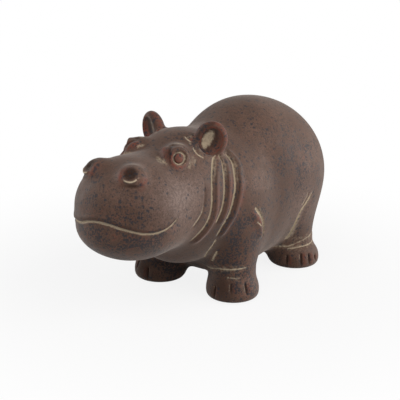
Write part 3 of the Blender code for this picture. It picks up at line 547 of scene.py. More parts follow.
def turned(points, turn, tilt):
    """Points in axes turned outwards about Z, then leaned outwards about Y, both in degrees."""
    x, y, z = points.T
    c, s = np.cos(np.radians(turn)), np.sin(np.radians(turn))
    x, y = c * x + s * y, c * y - s * x
    c, s = np.cos(np.radians(tilt)), np.sin(np.radians(tilt))
    return np.stack([c * x - s * z, y, s * x + c * z], axis=1)


def facing(turn, tilt=0.0):
    """Axes (across, up, out) of something that faces outwards by turn and upwards by tilt, in degrees."""
    turn, tilt = np.radians(turn), np.radians(tilt)
    out = np.array((np.sin(turn) * np.cos(tilt), -np.cos(turn) * np.cos(tilt), np.sin(tilt)))
    across = np.array((np.cos(turn), np.sin(turn), 0.0))
    return np.stack([across, np.cross(out, across), out])


def one_side(points):
    """Both sides of the animal folded onto its left one, softly at the middle plane."""
    across = np.sqrt(points[:, 0] ** 2 + MIDLINE_SOFTNESS**2) - 0.2 * MIDLINE_SOFTNESS
    return np.stack([across, points[:, 1], points[:, 2]], axis=1)


def body(points, side):
    """Distance to the trunk, head and legs."""
    surface = egg(points, *TRUNK[0])
    for mass in TRUNK[1:]:
        surface = joined(surface, egg(points, *mass), TRUNK_BLEND)
    surface = joined(surface, egg(points, THROAT_MIDDLE, THROAT_HALF), THROAT_BLEND)
    surface = joined(surface, limb(points, TAIL_TOP, TAIL_TIP, TAIL_RADIUS, TAIL_TIP_RADIUS), TAIL_BLEND)
    head = egg(points, SKULL_MIDDLE, SKULL_HALF)
    head = joined(head, egg(points, MUZZLE_MIDDLE, MUZZLE_HALF), HEAD_BLEND)
    head = joined(head, egg(points, JAW_MIDDLE, JAW_HALF), JAW_BLEND)
    head = joined(head, egg(side, CHEEK_MIDDLE, CHEEK_HALF), CHEEK_BLEND)
    surface = joined(surface, head, HEAD_TO_NECK_BLEND)
    for leg in LEGS:
        shape = limb(side, leg["top"], leg["ankle"], leg["top_radius"], leg["ankle_radius"])
        shape = joined(shape, egg(side, leg["foot"], leg["foot_half"]), FOOT_BLEND)
        surface = joined(surface, shape, LEG_BLEND)
    surface = joined(surface, egg(side, BROW_MIDDLE, BROW_HALF), BROW_BLEND)
    return joined(surface, egg(side, NOSE_MIDDLE, NOSE_HALF), NOSE_BLEND)


def with_ears(surface, side, opened):
    """Round ears with a thick rim, cupped towards the front and side."""
    local = turned(side - np.array(EAR_MIDDLE), EAR_TURN, EAR_LEAN)
    surface = joined(surface, egg(local, (0, 0, 0), EAR_HALF), EAR_BLEND)
    cup_front = -EAR_HALF[1] - EAR_CUP_HALF[1] * (1.0 - opened) + EAR_CUP_INSET
    cup_middle = (EAR_CUP_PLACE[0], cup_front, EAR_CUP_PLACE[1])
    return without(surface, egg(local, cup_middle, EAR_CUP_HALF), EAR_EDGE_SOFTNESS)


def shape_at(points, opened=1.0):
    """Distance to the statue before it is carved, with the feet cut flat at the ground.

    The ears are hollowed by a share of their depth.
    """
    side = one_side(points)
    surface = with_ears(body(points, side), side, opened)
    return without(surface, points[:, 2], SOLE_EDGE_RADIUS)


def smooth_route(points, steps=5):
    """Points along a curve that passes through the given ones."""
    p = np.array(points)
    p = np.vstack([2 * p[0] - p[1], p, 2 * p[-1] - p[-2]])
    route = []
    for a, b, c, d in zip(p[:-3], p[1:-2], p[2:-1], p[3:]):
        for t in np.arange(steps) / steps:
            bend = (2 * a - 5 * b + 4 * c - d) * t**2 + (3 * b - a - 3 * c + d) * t**3
            route.append(b + ((c - a) * t + bend) / 2)
    route.append(p[-2])
    return np.array(route)


def beside(points, route):
    """For each point its distance to a route, that distance with a sign, and how far along it lies.

    In a flat view the sign is positive on the left of someone who walks the route with Y as up. In space it
    has no meaning.
    """
    nearest = np.full(len(points), np.inf)
    signed = np.zeros(len(points))
    along = np.zeros(len(points))
    steps = np.diff(route, axis=0)
    lengths = length(steps)
    walked = 0.0
    for start, step, step_length in zip(route[:-1], steps, lengths):
        share = np.clip((points - start) @ step / step_length**2, 0, 1)
        away = points - start - share[:, None] * step
        distance = length(away)
        closer = distance < nearest
        nearest[closer] = distance[closer]
        turn = step[0] * away[closer, 1] - step[1] * away[closer, 0]
        signed[closer] = np.sign(turn) * distance[closer]
        along[closer] = (walked + share[closer] * step_length) / lengths.sum()
        walked += step_length
    return nearest, signed, along


def valley(distance, width):
    """1 along a line and 0 at half its width, with a rounded floor."""
    return np.maximum(1 - (2 * distance / width) ** 2, 0) ** 2


def swell(signed, middle, width):
    """1 where the signed distance is at the middle, fading to both sides."""
    return np.exp(-(((signed - middle) / width) ** 2))


def fading(along, start, end):
    """1 along a line, fading over a share of its length at each end."""
    return ramp(along, 0, start) * ramp(1 - along, 0, end)


def spot(across, up, middle, half, turn=0.0):
    """1 in the middle of a small oval on a flat view, fading outwards. It is turned anticlockwise."""
    c, s = np.cos(np.radians(turn)), np.sin(np.radians(turn))
    x, y = across - middle[0], up - middle[1]
    return swell(np.hypot((c * x + s * y) / half[0], (c * y - s * x) / half[1]), 0, 1)


def oval(across, up, sizes):
    """The depth or height that one of the small ovals gives."""
    middle, half, turn, depth = sizes
    return depth * spot(across, up, middle, half, turn)


def wash(distance, strength, width, haze=0.0, haze_width=1.0):
    """Cream left in a line, with a thinner haze beside it."""
    return strength * valley(distance, width) + haze * swell(distance, 0, haze_width)


def towards(angle, degrees):
    """1 in one direction round a middle, falling to 0 in the opposite one."""
    return 0.5 + 0.5 * np.cos(angle - np.radians(degrees))


def seen_from_side(route, start, up=0.0):
    """A route in (Y, Z) from offsets to a start along Y and a height."""
    return smooth_route([(start + tail, up + height) for tail, height in route])


def laid_on_skin(route, start):
    """A smooth route in space from offsets to a start, moved onto the surface."""
    points = smooth_route(np.array(route) + start)
    for _ in range(4):
        points = on_surface(points)
    return points


EYE_AXES = facing(EYE_TURN)
EYE_MIDDLE = np.array(BROW_MIDDLE) + EYE_AXES[2] * np.mean(BROW_HALF)
NOSTRIL_AXES = facing(NOSTRIL_TURN, NOSTRIL_TILT)
NOSTRIL_MIDDLE = np.array(NOSE_MIDDLE) + NOSTRIL_AXES[2] * np.mean(NOSE_HALF)


class Skin:
    """What the carving does at each point: how deep it is pressed in, and the tones it leaves there."""

    def __init__(self, points):
        self.points = points
        self.side = one_side(points)
        self.seen = points[:, 1:]
        self.right = ramp(points[:, 0], 0.01, -0.01)
        self.depth = np.zeros(len(points))
        self.tones = {name: np.zeros(len(points)) for name in TONES}

    def press(self, depth):
        self.depth += depth

    def tone(self, name, amount):
        self.tones[name] = np.maximum(self.tones[name], amount)

    def tones_beside(self, here, signed, along, tones):
        for name, strength, grows, across in tones:
            self.tone(name, strength * here * ramp(along, *grows) * swell(signed, *across))

    def tones_in_ovals(self, here, across, up, tones):
        for name, strength, middle, half, turn in tones:
            self.tone(name, strength * here * spot(across, up, middle, half, turn))

    def cloud(self, middle, half):
        return swell(length((self.side - np.array(middle)) / half), 0, 1)


def press_short_lines(skin, lines, start, fades, cream):
    """Narrow wrinkles along routes in space, with wash in them."""
    for line in lines:
        distance, _, along = beside(skin.side, laid_on_skin(line, start))
        here = fading(along, *fades)
        skin.press(here * WRINKLE_DEPTH * valley(distance, WRINKLE_WIDTH))
        skin.tone("cream", here * wash(distance, *cream))


def neck_lines(skin):
    """Folds behind the cheek, each a line with a roll of skin behind it, and wrinkles on the chest."""
    flank = ramp(skin.side[:, 0], 0.25 * NECK_HALF[0], 0.55 * NECK_HALF[0])
    for fold in NECK_FOLDS:
        route = seen_from_side(fold, NECK_MIDDLE[1], NECK_MIDDLE[2])
        distance, signed, along = beside(skin.seen, route)
        here = flank * fading(along, 0.06, 0.1)
        line = FOLD_DEPTH * valley(distance, FOLD_WIDTH)
        roll = FOLD_SWELL * swell(signed, ROLL_BEHIND_FOLD, ROLL_WIDTH)
        skin.press(here * (line - roll))
        skin.tone("cream", here * wash(distance, *FOLD_WASH))
        skin.tones_beside(here, signed, along, FOLD_TONES)
    route = seen_from_side(CHEEK_FOLD, NECK_MIDDLE[1], NECK_MIDDLE[2])
    distance, signed, along = beside(skin.seen, route)
    here = flank * fading(along, 0.25, 0.2)
    skin.press(here * CHEEK_FOLD_DEPTH * valley(distance, CHEEK_FOLD_WIDTH))
    skin.tone("cream", here * ramp(along, *CHEEK_FOLD_WASHED_FROM) * wash(distance, *CHEEK_FOLD_WASH))
    skin.tones_beside(here, signed, along, CHEEK_FOLD_TONES)
    press_short_lines(skin, CHEST_WRINKLES, CHEST_MIDDLE, (0.1, 0.1), CHEST_WASH)


def mouth_line(skin):
    """The long mouth, which dips on each side and rises to its corner, under a fuller upper lip."""
    front = MUZZLE_MIDDLE[1] - MUZZLE_HALF[1]
    lowest = front + MOUTH_LENGTH / 2
    corner_height = MUZZLE_MIDDLE[2] - MOUTH_BELOW_MUZZLE
    sag = MOUTH_RIGHT_SAG * swell(skin.points[:, 0], MOUTH_SAG_MIDDLE, MOUTH_SAG_WIDTH)
    seen = skin.seen + np.stack([np.zeros(len(sag)), sag], axis=1)
    route = [(front - MOUTH_LENGTH / 2, corner_height)]
    for y in np.linspace(front, front + MOUTH_LENGTH, 13):
        rise = ((y - lowest) * 2 / MOUTH_LENGTH) ** 2
        route.append((y, corner_height - MOUTH_DROP * (1 - rise)))
    distance, signed, along = beside(seen, np.array(route))
    ends = fading(along, 0.001, 0.06)
    line = MOUTH_DEPTH * valley(distance, MOUTH_WIDTH)
    upper = swell(signed, MOUTH_WIDTH, MOUTH_WIDTH)
    lower = swell(signed, -MOUTH_WIDTH, MOUTH_WIDTH)
    skin.press(ends * (line - LIP_SWELL * (upper - 0.5 * lower)))
    skin.tone("cream", ends * wash(distance, *MOUTH_WASH))
    skin.tones_beside(ends, signed, along, MOUTH_TONES)


def leg_creases(skin):
    """Creases where the legs meet the belly, with the flesh beside them swelling or falling away."""
    flank = ramp(skin.side[:, 0], 0.25 * FORELEG_OUT, 0.6 * FORELEG_OUT)
    route = seen_from_side(ARMPIT_CREASE, FORELEG["ankle"][1])
    distance, signed, along = beside(skin.seen, route)
    here = flank * fading(along, 0.2, 0.1)
    flesh = FLESH_SWELL * swell(signed, -FLESH_AHEAD_OF_ARMPIT, FLESH_WIDTH)
    skin.press(here * (CREASE_DEPTH * valley(distance, CREASE_WIDTH) - flesh))
    skin.tone("cream", here * wash(distance, *ARMPIT_WASH))
    skin.tones_beside(here, signed, along, ARMPIT_TONES)
    route = seen_from_side(GROIN_CREASE, HINDLEG["ankle"][1])
    distance, signed, along = beside(skin.seen, route)
    here = flank * fading(along, 0.2, 0.1)
    hollow = GROIN_HOLLOW * swell(signed, GROIN_HOLLOW_BEHIND, FLESH_WIDTH)
    skin.press(here * (CREASE_DEPTH * valley(distance, CREASE_WIDTH) + hollow))
    strength, width, haze, haze_width = GROIN_WASH
    skin.tone("cream", here * wash(distance, strength, width, haze * along, haze_width))
    skin.tones_beside(here, signed, along, GROIN_TONES)
    for wrinkle, leg in ((ARMPIT_WRINKLE, FORELEG), (GROIN_WRINKLE, HINDLEG)):
        distance, _, along = beside(skin.seen, seen_from_side(wrinkle, leg["ankle"][1]))
        here = flank * fading(along, 0.15, 0.15)
        skin.press(here * WRINKLE_DEPTH * valley(distance, WRINKLE_WIDTH))
        skin.tone("cream", here * wash(distance, *LEG_WRINKLE_WASH))


def eyes(skin):
    """A domed eyeball inside a groove and a ring of lid, with a lobe, a groove and hollows near the nose."""
    local = (skin.side - EYE_MIDDLE) @ EYE_AXES.T
    across, up, out = local.T
    radius = np.hypot(across, EYE_SQUASH * up)
    angle = np.arctan2(up, across)
    here = ramp(out, -EYE_REACH_BACK, -0.7 * EYE_REACH_BACK)
    ball = EYEBALL_SWELL * np.sqrt(np.maximum(1 - (radius / EYEBALL_RADIUS) ** 2, 0))
    ring = EYE_RING_DEPTH * valley(radius - EYE_RING_RADIUS, EYE_RING_WIDTH)
    below = towards(angle, -60)
    lid = LID_HEIGHT * (1 + 0.5 * towards(angle, 60)) * swell(radius, LID_RADIUS, LID_WIDTH)
    away, _, along = beside(local[:, :2], smooth_route(LID_CREASE))
    crease = fading(along, 0.2, 0.2) * valley(away, LID_CREASE_WIDTH)
    dents = oval(across, up, EYE_GROOVE) + oval(across, up, EYE_HOLLOW) + oval(across, up, EYE_PIT)
    skin.press(here * (ring + LID_CREASE_DEPTH * crease + dents))
    skin.press(-here * (ball + lid + oval(across, up, EYE_LOBE)))
    wash_ring = valley(radius - EYE_WASH_RING[0], EYE_WASH_RING[1])
    shade_ring = valley(radius - EYEBALL_SHADE_RING[0], EYEBALL_SHADE_RING[1])
    skin.tone("cream", here * (0.6 + 0.6 * below) * wash_ring)
    skin.tone("cream", 0.45 * here * below * swell(radius, *LID_WASH_RING))
    skin.tone("red", 0.75 * here * ramp(radius, *EYEBALL_RED_WITHIN))
    skin.tone("red", 0.9 * here * towards(angle, -125) * swell(radius, *LID_RED_RING))
    skin.tone("red", 0.9 * here * crease)
    # Painted shade round the eyeball's edge, darker on its upper side under the lid
    skin.tone("shade", 0.9 * here * (1.2 - below) * shade_ring)
    skin.tones_in_ovals(here, across, up, EYE_TONES)
    for route, strength in ((BROW_EDGE, 0.55), (BROW_STREAK, 0.1 + 0.4 * ramp(skin.points[:, 0], 0, -0.01))):
        away, _, along = beside(local, smooth_route(route))
        skin.tone("cream", strength * fading(along, 0.4, 0.4) * swell(away, 0, BROW_WASH_WIDTH))


def nostrils(skin):
    """A pocket under the hood of each mound, with a thin raised crescent as its lower lip."""
    across, up, out = ((skin.side - NOSTRIL_MIDDLE) @ NOSTRIL_AXES.T).T
    here = ramp(out, -NOSTRIL_REACH_BACK, -0.7 * NOSTRIL_REACH_BACK)
    away, _, along = beside(np.stack([across, up], axis=1), smooth_route(NOSTRIL_CRESCENT))
    ledge = fading(along, 0.25, 0.25) * valley(away, NOSTRIL_LEDGE_WIDTH)
    pocket = spot(across, up, *NOSTRIL_POCKET[:3])
    sides = oval(across, up, NOSTRIL_INNER_SIDE) + oval(across, up, NOSTRIL_OUTER_SIDE)
    dents = NOSTRIL_POCKET[3] * pocket * (1 - ledge) + oval(across, up, NOSTRIL_UNDER)
    skin.press(here * (dents - NOSTRIL_LEDGE * ledge - sides))
    crescent = fading(along, 0.35, 0.35) * wash(away, *CRESCENT_WASH)
    skin.tone("cream", 1.2 * here * crescent)
    # Painted shade in the pocket under the hood
    skin.tone("shade", here * ramp(pocket, 0.12, 0.45) * (1 - crescent))
    skin.tones_in_ovals(here, across, up, NOSTRIL_TONES)


def ears_and_their_roots(skin):
    """Tones of the ears' rims and cups, and creases round the front of each ear's root."""
    press_short_lines(skin, EAR_ROOT_CREASES, SKULL_MIDDLE, (0.25, 0.15), EAR_ROOT_WASH)
    from_ear = skin.side - np.array(EAR_MIDDLE)
    across, back, up = turned(from_ear, EAR_TURN, EAR_LEAN).T
    outwards = across - EAR_CUP_PLACE[0]
    cup_reach = np.hypot(outwards / EAR_CUP_HALF[0], (up - EAR_CUP_PLACE[1]) / EAR_CUP_HALF[2])
    reach = np.hypot(across / EAR_HALF[0], up / EAR_HALF[2])
    ear = ramp(reach, 1.15, 1.02) * ramp(from_ear[:, 2], -0.017, -0.009) * ramp(back, -0.0125, -0.01)
    front = ear * ramp(back, 0.003, -0.002)
    inside = front * ramp(cup_reach, 0.95, 0.8)
    outer = ramp(outwards, 0, 0.005)
    outer_wall = outer * ramp(cup_reach, 0.4, 0.6) * ramp(cup_reach, 1.05, 0.95)
    right = skin.right
    skin.tones["cream"] *= 1 - ear
    # Painted shade in the deep of each cup, stronger in the far ear, and a darker band on the front of the
    # inner rim
    skin.tone("shade", (0.6 + 0.3 * right) * inside * (1 - outer * ramp(cup_reach, 0.35, 0.6)))
    skin.tone("shade", 0.6 * front * ramp(outwards, -0.002, -0.006) * swell(cup_reach, 1.18, 0.14))
    skin.tone("red", front * swell(cup_reach, 0.93, 0.07))
    skin.tone("red", (0.6 + 0.4 * right) * front * outer_wall)
    skin.tone("red", 0.7 * ear * ramp(reach, 0.8, 1.0) * ramp(back, 0.006, 0.0))
    cream = inside * ramp(spot(across, up, *EAR_WASH), 0.2, 0.75)
    skin.tone("cream", (0.8 - 0.45 * right) * cream)
    for name in ("shade", "red"):
        skin.tones[name] *= 1 - 0.8 * cream
    for strength, middle, half in DUST:
        skin.tone("cream", strength * (1 - ear) * skin.cloud(middle, half))
    for route in EAR_STREAKS:
        away, _, along = beside(skin.side, smooth_route(route))
        skin.tone("cream", (1 - ear) * fading(along, 0.2, 0.2) * wash(away, *EAR_STREAK_WASH))


def toes_and_ankles(skin):
    """Short grooves between the toes, round the front and outer side of each foot, and creases above."""
    height = skin.side[:, 2]
    for leg, rings in zip(LEGS, ANKLE_RINGS):
        across = skin.side[:, 0] - leg["foot"][0]
        along = skin.side[:, 1] - leg["foot"][1]
        radius = np.hypot(across, along)
        angle = np.degrees(np.arctan2(across, -along))
        foot_radius = leg["foot_half"][0]
        on_foot = ramp(radius, 0.5 * foot_radius, 0.8 * foot_radius)
        for toe_angle, lowest, highest in leg["toe_grooves"]:
            sideways = radius * np.radians(np.clip(angle - toe_angle, -60, 60))
            away = np.abs(sideways)
            groove = 0.7 * valley(away, TOE_GROOVE_WIDTH) + 0.3 * valley(away, 3 * TOE_GROOVE_WIDTH)
            starts = ramp(height, lowest - TOE_GROOVE_WIDTH, lowest + TOE_GROOVE_WIDTH)
            here = on_foot * starts * ramp(height, highest, highest - TOE_GROOVE_WIDTH)
            skin.press(here * TOE_DEPTH * groove)
            # Painted shade in each groove
            skin.tone("shade", here * valley(away, 1.3 * TOE_GROOVE_WIDTH))
            skin.tones_beside(here, sideways, height, TOE_TONES)
        on_leg = ramp(radius, 1.7 * foot_radius, 1.35 * foot_radius)
        for turns, heights, strength in rings:
            away = np.abs(height - np.interp(angle, turns, heights))
            shown = ramp(angle, turns[0], turns[0] + 20) * ramp(angle, turns[-1], turns[-1] - 30)
            here = strength * on_leg * shown
            skin.press(here * WRINKLE_DEPTH * valley(away, WRINKLE_WIDTH))
            skin.tone("cream", here * wash(away, *ANKLE_WASH))


def hand_finish(skin):
    """Broad tones: rubbed clouds that also paint highlights, clouds of painted shade, and the grains of the
    jaw, snout, forelegs, flank and neck.
    """
    _, y, z = skin.side.T
    # Rubbed clay with painted highlights, and clouds of painted shade
    for name, clouds in (("rubbed", RUBBED_AND_HIGHLIGHT_CLOUDS), ("shade", PAINTED_SHADE_CLOUDS)):
        for strength, middle, half in clouds:
            skin.tone(name, strength * skin.cloud(middle, half))
    skin.tone("speckled", SPECKLED_ELSEWHERE)
    for strength, by_height, from_ahead, from_behind in SPECKLED_ZONES:
        skin.tone("speckled", strength * ramp(z, *by_height) * ramp(y, *from_ahead) * ramp(y, *from_behind))
    skin.tone("speckled", SPECKLED_FLANK[0] * skin.cloud(*SPECKLED_FLANK[1:]))
    skin.tone("speckled", SPECKLED_NECK[0] * ramp(z, *SPECKLED_NECK[1]) * swell(y, *SPECKLED_NECK[2]))
    skin.tones["speckled"] *= 1 - 0.85 * skin.tones["rubbed"]


CUTS = (
    neck_lines, mouth_line, leg_creases, eyes, nostrils,
    ears_and_their_roots, toes_and_ankles, hand_finish,
)


def carve(points):
    """The whole carving at each point of the skin."""
    skin = Skin(points)
    for cut in CUTS:
        cut(skin)
    return skin


def surface_and_slope(points, opened=1.0, step=0.00005):
    """The distance to the statue, and the direction in which it grows at its own rate."""
    here = shape_at(points, opened)
    slope = np.empty_like(points)
    for axis in range(3):
        ahead = points.copy()
        ahead[:, axis] += step
        slope[:, axis] = (shape_at(ahead, opened) - here) / step
    return here, slope


def on_surface(points, opened=1.0):
    """Points moved one step nearer to the statue's surface."""
    here, slope = surface_and_slope(points, opened)
    steepness = np.maximum((slope**2).sum(axis=1), 0.3)[:, None]
    return points - here[:, None] * slope / steepness


def settled(points, edges):
    """Blank points moved onto the surface while the ears are hollowed, and evened out between moves."""
    count = np.bincount(edges.ravel(), minlength=len(points))[:, None]
    for opened, evening in HOLLOWING_STEPS:
        points = on_surface(points, opened)
        total = np.zeros_like(points)
        for axis in range(3):
            total[:, axis] = np.bincount(edges[:, 0], points[edges[:, 1], axis], len(points))
            total[:, axis] += np.bincount(edges[:, 1], points[edges[:, 0], axis], len(points))
        points = points + evening * (total / count - points)
    return on_surface(points)


def points_of(mesh):
    """A mesh's points as an array."""
    flat = np.empty(len(mesh.vertices) * 3)
    mesh.vertices.foreach_get("co", flat)
    return flat.reshape(-1, 3)


def edges_of(mesh):
    """The two point numbers of each edge."""
    flat = np.empty(len(mesh.edges) * 2, dtype=np.int64)
    mesh.edges.foreach_get("vertices", flat)
    return flat.reshape(-1, 2)


def new_object(name, data):
    """An object in the scene with the given mesh, lamp or camera."""
    thing = bpy.data.objects.new(name, data)
    bpy.context.scene.collection.objects.link(thing)
    return thing


def add_egg(mesh, middle, half, lean=Matrix()):
    """One egg of the blank."""
    place = Matrix.Translation(middle) @ lean @ Matrix.Diagonal((*half, 1))
    bmesh.ops.create_uvsphere(mesh, u_segments=20, v_segments=12, radius=1, matrix=place)


def add_limb(mesh, top, bottom, top_radius, bottom_radius):
    """One tapered leg, or the tail, of the blank."""
    bone = Vector(bottom) - Vector(top)
    turn = bone.to_track_quat("Z", "Y").to_matrix().to_4x4()
    place = Matrix.Translation((Vector(top) + Vector(bottom)) / 2) @ turn
    sizes = {"radius1": top_radius, "radius2": bottom_radius, "depth": bone.length}
    bmesh.ops.create_cone(mesh, cap_ends=True, segments=32, matrix=place, **sizes)


def refine_where_carved(mesh, shows_from):
    """Splits the faces that carry carving or a strong tone, so that a narrow line has enough points."""
    skin = carve(points_of(mesh))
    strong = np.maximum(skin.tones["cream"], skin.tones["red"])
    shows = (np.abs(skin.depth) > shows_from) | (strong > REFINED_WHERE_STRONGER)
    work = bmesh.new()
    work.from_mesh(mesh)
    bmesh.ops.triangulate(work, faces=work.faces)
    edges = [edge for edge in work.edges if shows[edge.verts[0].index] or shows[edge.verts[1].index]]
    bmesh.ops.subdivide_edges(work, edges=edges, cuts=1)
    bmesh.ops.triangulate(work, faces=work.faces)
    work.to_mesh(mesh)
    work.free()
    mesh.vertices.foreach_set("co", on_surface(points_of(mesh)).ravel())


def blank_skin():
    """All the masses joined into one closed skin of even grain."""
    mesh = bmesh.new()
    add_limb(mesh, TAIL_TOP, TAIL_TIP, TAIL_RADIUS, TAIL_TIP_RADIUS)
    for mass in TRUNK + ((THROAT_MIDDLE, THROAT_HALF), (SKULL_MIDDLE, SKULL_HALF)):
        add_egg(mesh, *mass)
    for mass in ((MUZZLE_MIDDLE, MUZZLE_HALF), (JAW_MIDDLE, JAW_HALF)):
        add_egg(mesh, *mass)
    for side in (1, -1):
        for middle, half in PAIRS:
            add_egg(mesh, (side * middle[0], middle[1], middle[2]), half)
        turn = Matrix.Rotation(np.radians(side * EAR_TURN), 4, "Z")
        lean = Matrix.Rotation(np.radians(side * EAR_LEAN), 4, "Y")
        add_egg(mesh, (side * EAR_MIDDLE[0], EAR_MIDDLE[1], EAR_MIDDLE[2]), EAR_HALF, turn @ lean)
        for leg in LEGS:
            ends = [(side * x, y, z) for x, y, z in (leg["top"], leg["ankle"])]
            add_limb(mesh, *ends, leg["top_radius"], leg["ankle_radius"])
            x, y, z = leg["foot"]
            add_egg(mesh, (side * x, y, z), leg["foot_half"])
    blank = new_object("blank", bpy.data.meshes.new("blank"))
    mesh.to_mesh(blank.data)
    mesh.free()
    remesh = blank.modifiers.new("one skin", "REMESH")
    remesh.mode = "VOXEL"
    remesh.voxel_size = SKIN_GRAIN
    skin = as_evaluated(blank)
    bpy.data.objects.remove(blank)
    return skin


def as_evaluated(thing):
    """A new mesh of an object with its modifiers carried out."""
    graph = bpy.context.evaluated_depsgraph_get()
    return bpy.data.meshes.new_from_object(thing.evaluated_get(graph))


def make_statue():
    """The settled, carved and toned statue, and how far it was moved along Y to stand in the middle.

    Its finer skin would stand a little wider than the CAD model's facets, so its width is kept to theirs.
    """
    mesh = blank_skin()
    mesh.vertices.foreach_set("co", settled(points_of(mesh), edges_of(mesh)).ravel())
    for shows_from in REFINED_WHERE_DEEPER:
        refine_where_carved(mesh, shows_from)
    points = points_of(mesh)
    _, slope = surface_and_slope(points)
    normal = slope / np.maximum(length(slope)[:, None], 1e-9)
    skin = carve(points)
    for name, amount in skin.tones.items():
        attribute = mesh.attributes.new(name, "FLOAT", "POINT")
        attribute.data.foreach_set("value", np.clip(amount, 0, STRONGEST_TONE))
    points = points - skin.depth[:, None] * normal
    middle = (points[:, 1].min() + points[:, 1].max()) / 2
    points[:, 1] -= middle
    points[:, 2] = np.where(points[:, 2] < SOLE_FLATNESS, 0.0, points[:, 2])
    points[:, 0] *= min(1, cad_box[1][0] / points[:, 0].max())
    mesh.vertices.foreach_set("co", points.ravel())
    mesh.shade_smooth()
    mesh.update()
    return new_object("carved_statue", mesh), middle


class Nodes:
    """Short calls for building a material's node tree."""

    def __init__(self, name):
        self.material = bpy.data.materials.new(name)
        self.material.use_nodes = True
        self.tree = self.material.node_tree
        self.shader = self.tree.nodes["Principled BSDF"]

    def add(self, kind, inputs=(), **settings):
        node = self.tree.nodes.new(kind)
        for key, value in settings.items():
            setattr(node, key, value)
        for key, value in dict(inputs).items():
            self.feed(node.inputs[key], value)
        return node

    def feed(self, socket, value):
        if isinstance(value, bpy.types.NodeSocket):
            self.tree.links.new(value, socket)
        else:
            socket.default_value = value

    def shade(self, inputs):
        for key, value in inputs.items():
            self.feed(self.shader.inputs[key], value)

    def times(self, first, second, clamp=False):
        return self.math("MULTIPLY", first, second, clamp)

    def math(self, operation, first, second=0.0, clamp=False):
        node = self.add("ShaderNodeMath", {0: first, 1: second}, operation=operation, use_clamp=clamp)
        return node.outputs[0]

    def tone(self, name):
        return self.add("ShaderNodeAttribute", attribute_name=name).outputs["Fac"]

    def noise(self, place, size, detail=2.0, roughness=0.5):
        settings = {"Vector": place, "Scale": 1 / size, "Detail": detail, "Roughness": roughness}
        return self.add("ShaderNodeTexNoise", settings).outputs["Fac"]

    def ramp(self, value, low, high, to_low=0.0, to_high=1.0):
        settings = {"Value": value, "From Min": low, "From Max": high, "To Min": to_low, "To Max": to_high}
        return self.add("ShaderNodeMapRange", settings, interpolation_type="SMOOTHSTEP").outputs[0]

    def mix(self, share, first, second):
        node = self.add("ShaderNodeMix", {0: share, 6: first, 7: second}, data_type="RGBA")
        return node.outputs[2]


def speckles(nodes, place, size, share, reach):
    """Small dark grains, one to a cell, in the given share of the cells."""
    wobble = nodes.add("ShaderNodeTexNoise", {"Vector": place, "Scale": 0.7 / size, "Detail": 2.0})
    shift = {0: wobble.outputs["Color"], "Scale": 0.9 * size}
    moved = nodes.add("ShaderNodeVectorMath", shift, operation="SCALE")
    there = nodes.add("ShaderNodeVectorMath", {0: place, 1: moved.outputs[0]}, operation="ADD").outputs[0]
    cells = nodes.add("ShaderNodeTexVoronoi", {"Vector": there, "Scale": 1 / size, "Randomness": 1.0})
    draw = nodes.add("ShaderNodeSeparateColor", {0: cells.outputs["Color"]})
    chosen = nodes.math("LESS_THAN", draw.outputs[0], share)
    width = nodes.ramp(draw.outputs[1], 0, 1, 0.5 * reach, reach)
    near = nodes.math("SUBTRACT", 1.0, nodes.math("DIVIDE", cells.outputs["Distance"], width))
    return nodes.times(nodes.times(near, 2.5, clamp=True), chosen)


def bare_clay(nodes, place, middling, mottled, fine):
    """The colour of the clay before its grains and wash, with rubbed patches and painted highlights, and how
    strong the painted shade on it is.
    """
    broad = nodes.noise(place, BROAD_PATCH, 3.0, 0.55)
    colour = nodes.mix(nodes.ramp(broad, 0.35, 0.65), CLAY_DARK, CLAY_LIGHT)
    colour = nodes.mix(nodes.ramp(middling, 0.4, 0.75, 0.0, 0.45), colour, CLAY_WARM)
    # Rubbed clay, which also paints highlights
    rubbed = nodes.times(nodes.tone("rubbed"), nodes.ramp(middling, 0.2, 0.7, 0.5, 1.0))
    colour = nodes.mix(rubbed, colour, CLAY_RUBBED_AND_HIGHLIGHT)
    colour = nodes.mix(nodes.ramp(mottled, 0.42, 0.6, 0.0, 0.6), colour, CLAY_DARK)
    colour = nodes.mix(nodes.ramp(fine, 0.5, 0.66, 0.0, 0.5), colour, DEEP_CLAY_AND_SHADE)
    worn = nodes.times(nodes.tone("red"), nodes.ramp(mottled, 0.36, 0.58, 0.2, 1.0))
    ruddy = nodes.times(nodes.tone("speckled"), nodes.ramp(mottled, 0.5, 0.36, 0.0, 0.32))
    colour = nodes.mix(nodes.times(nodes.math("MAXIMUM", worn, ruddy), 0.85), colour, RUBBED_RED)
    # Painted shade, towards the deep colour
    shade = nodes.times(nodes.tone("shade"), nodes.ramp(mottled, 0.3, 0.7, 0.95, 0.7))
    return nodes.mix(shade, colour, DEEP_CLAY_AND_SHADE), shade


def dark_grains(nodes, place):
    """Large grains in clusters and finer specks between them, thicker where the skin is speckled."""
    clustered = nodes.ramp(nodes.noise(place, GRAIN_CLUSTER, 2.0, 0.5), 0.35, 0.65, 0.35, 1.3)
    share = nodes.times(nodes.tone("speckled"), clustered)
    large = speckles(nodes, place, GRAIN, nodes.times(share, 0.8), GRAIN_REACH)
    least = nodes.math("SUBTRACT", 0.68, nodes.times(share, 0.19))
    above = nodes.math("SUBTRACT", nodes.noise(place, SPECK, 1.0), least)
    return nodes.math("MAXIMUM", nodes.times(above, 12.0, clamp=True), large)


def cream_wash(nodes, place):
    """How much crumbly wash lies on the skin."""
    crumbs = nodes.ramp(nodes.noise(place, CRUMB, 4.0, 0.7), 0.3, 0.7, -0.22, 0.22)
    crumbly = nodes.ramp(nodes.math("ADD", nodes.tone("cream"), crumbs), 0.05, 0.95)
    return nodes.times(nodes.times(crumbly, nodes.ramp(nodes.tone("cream"), 0.0, 0.3)), 0.85)


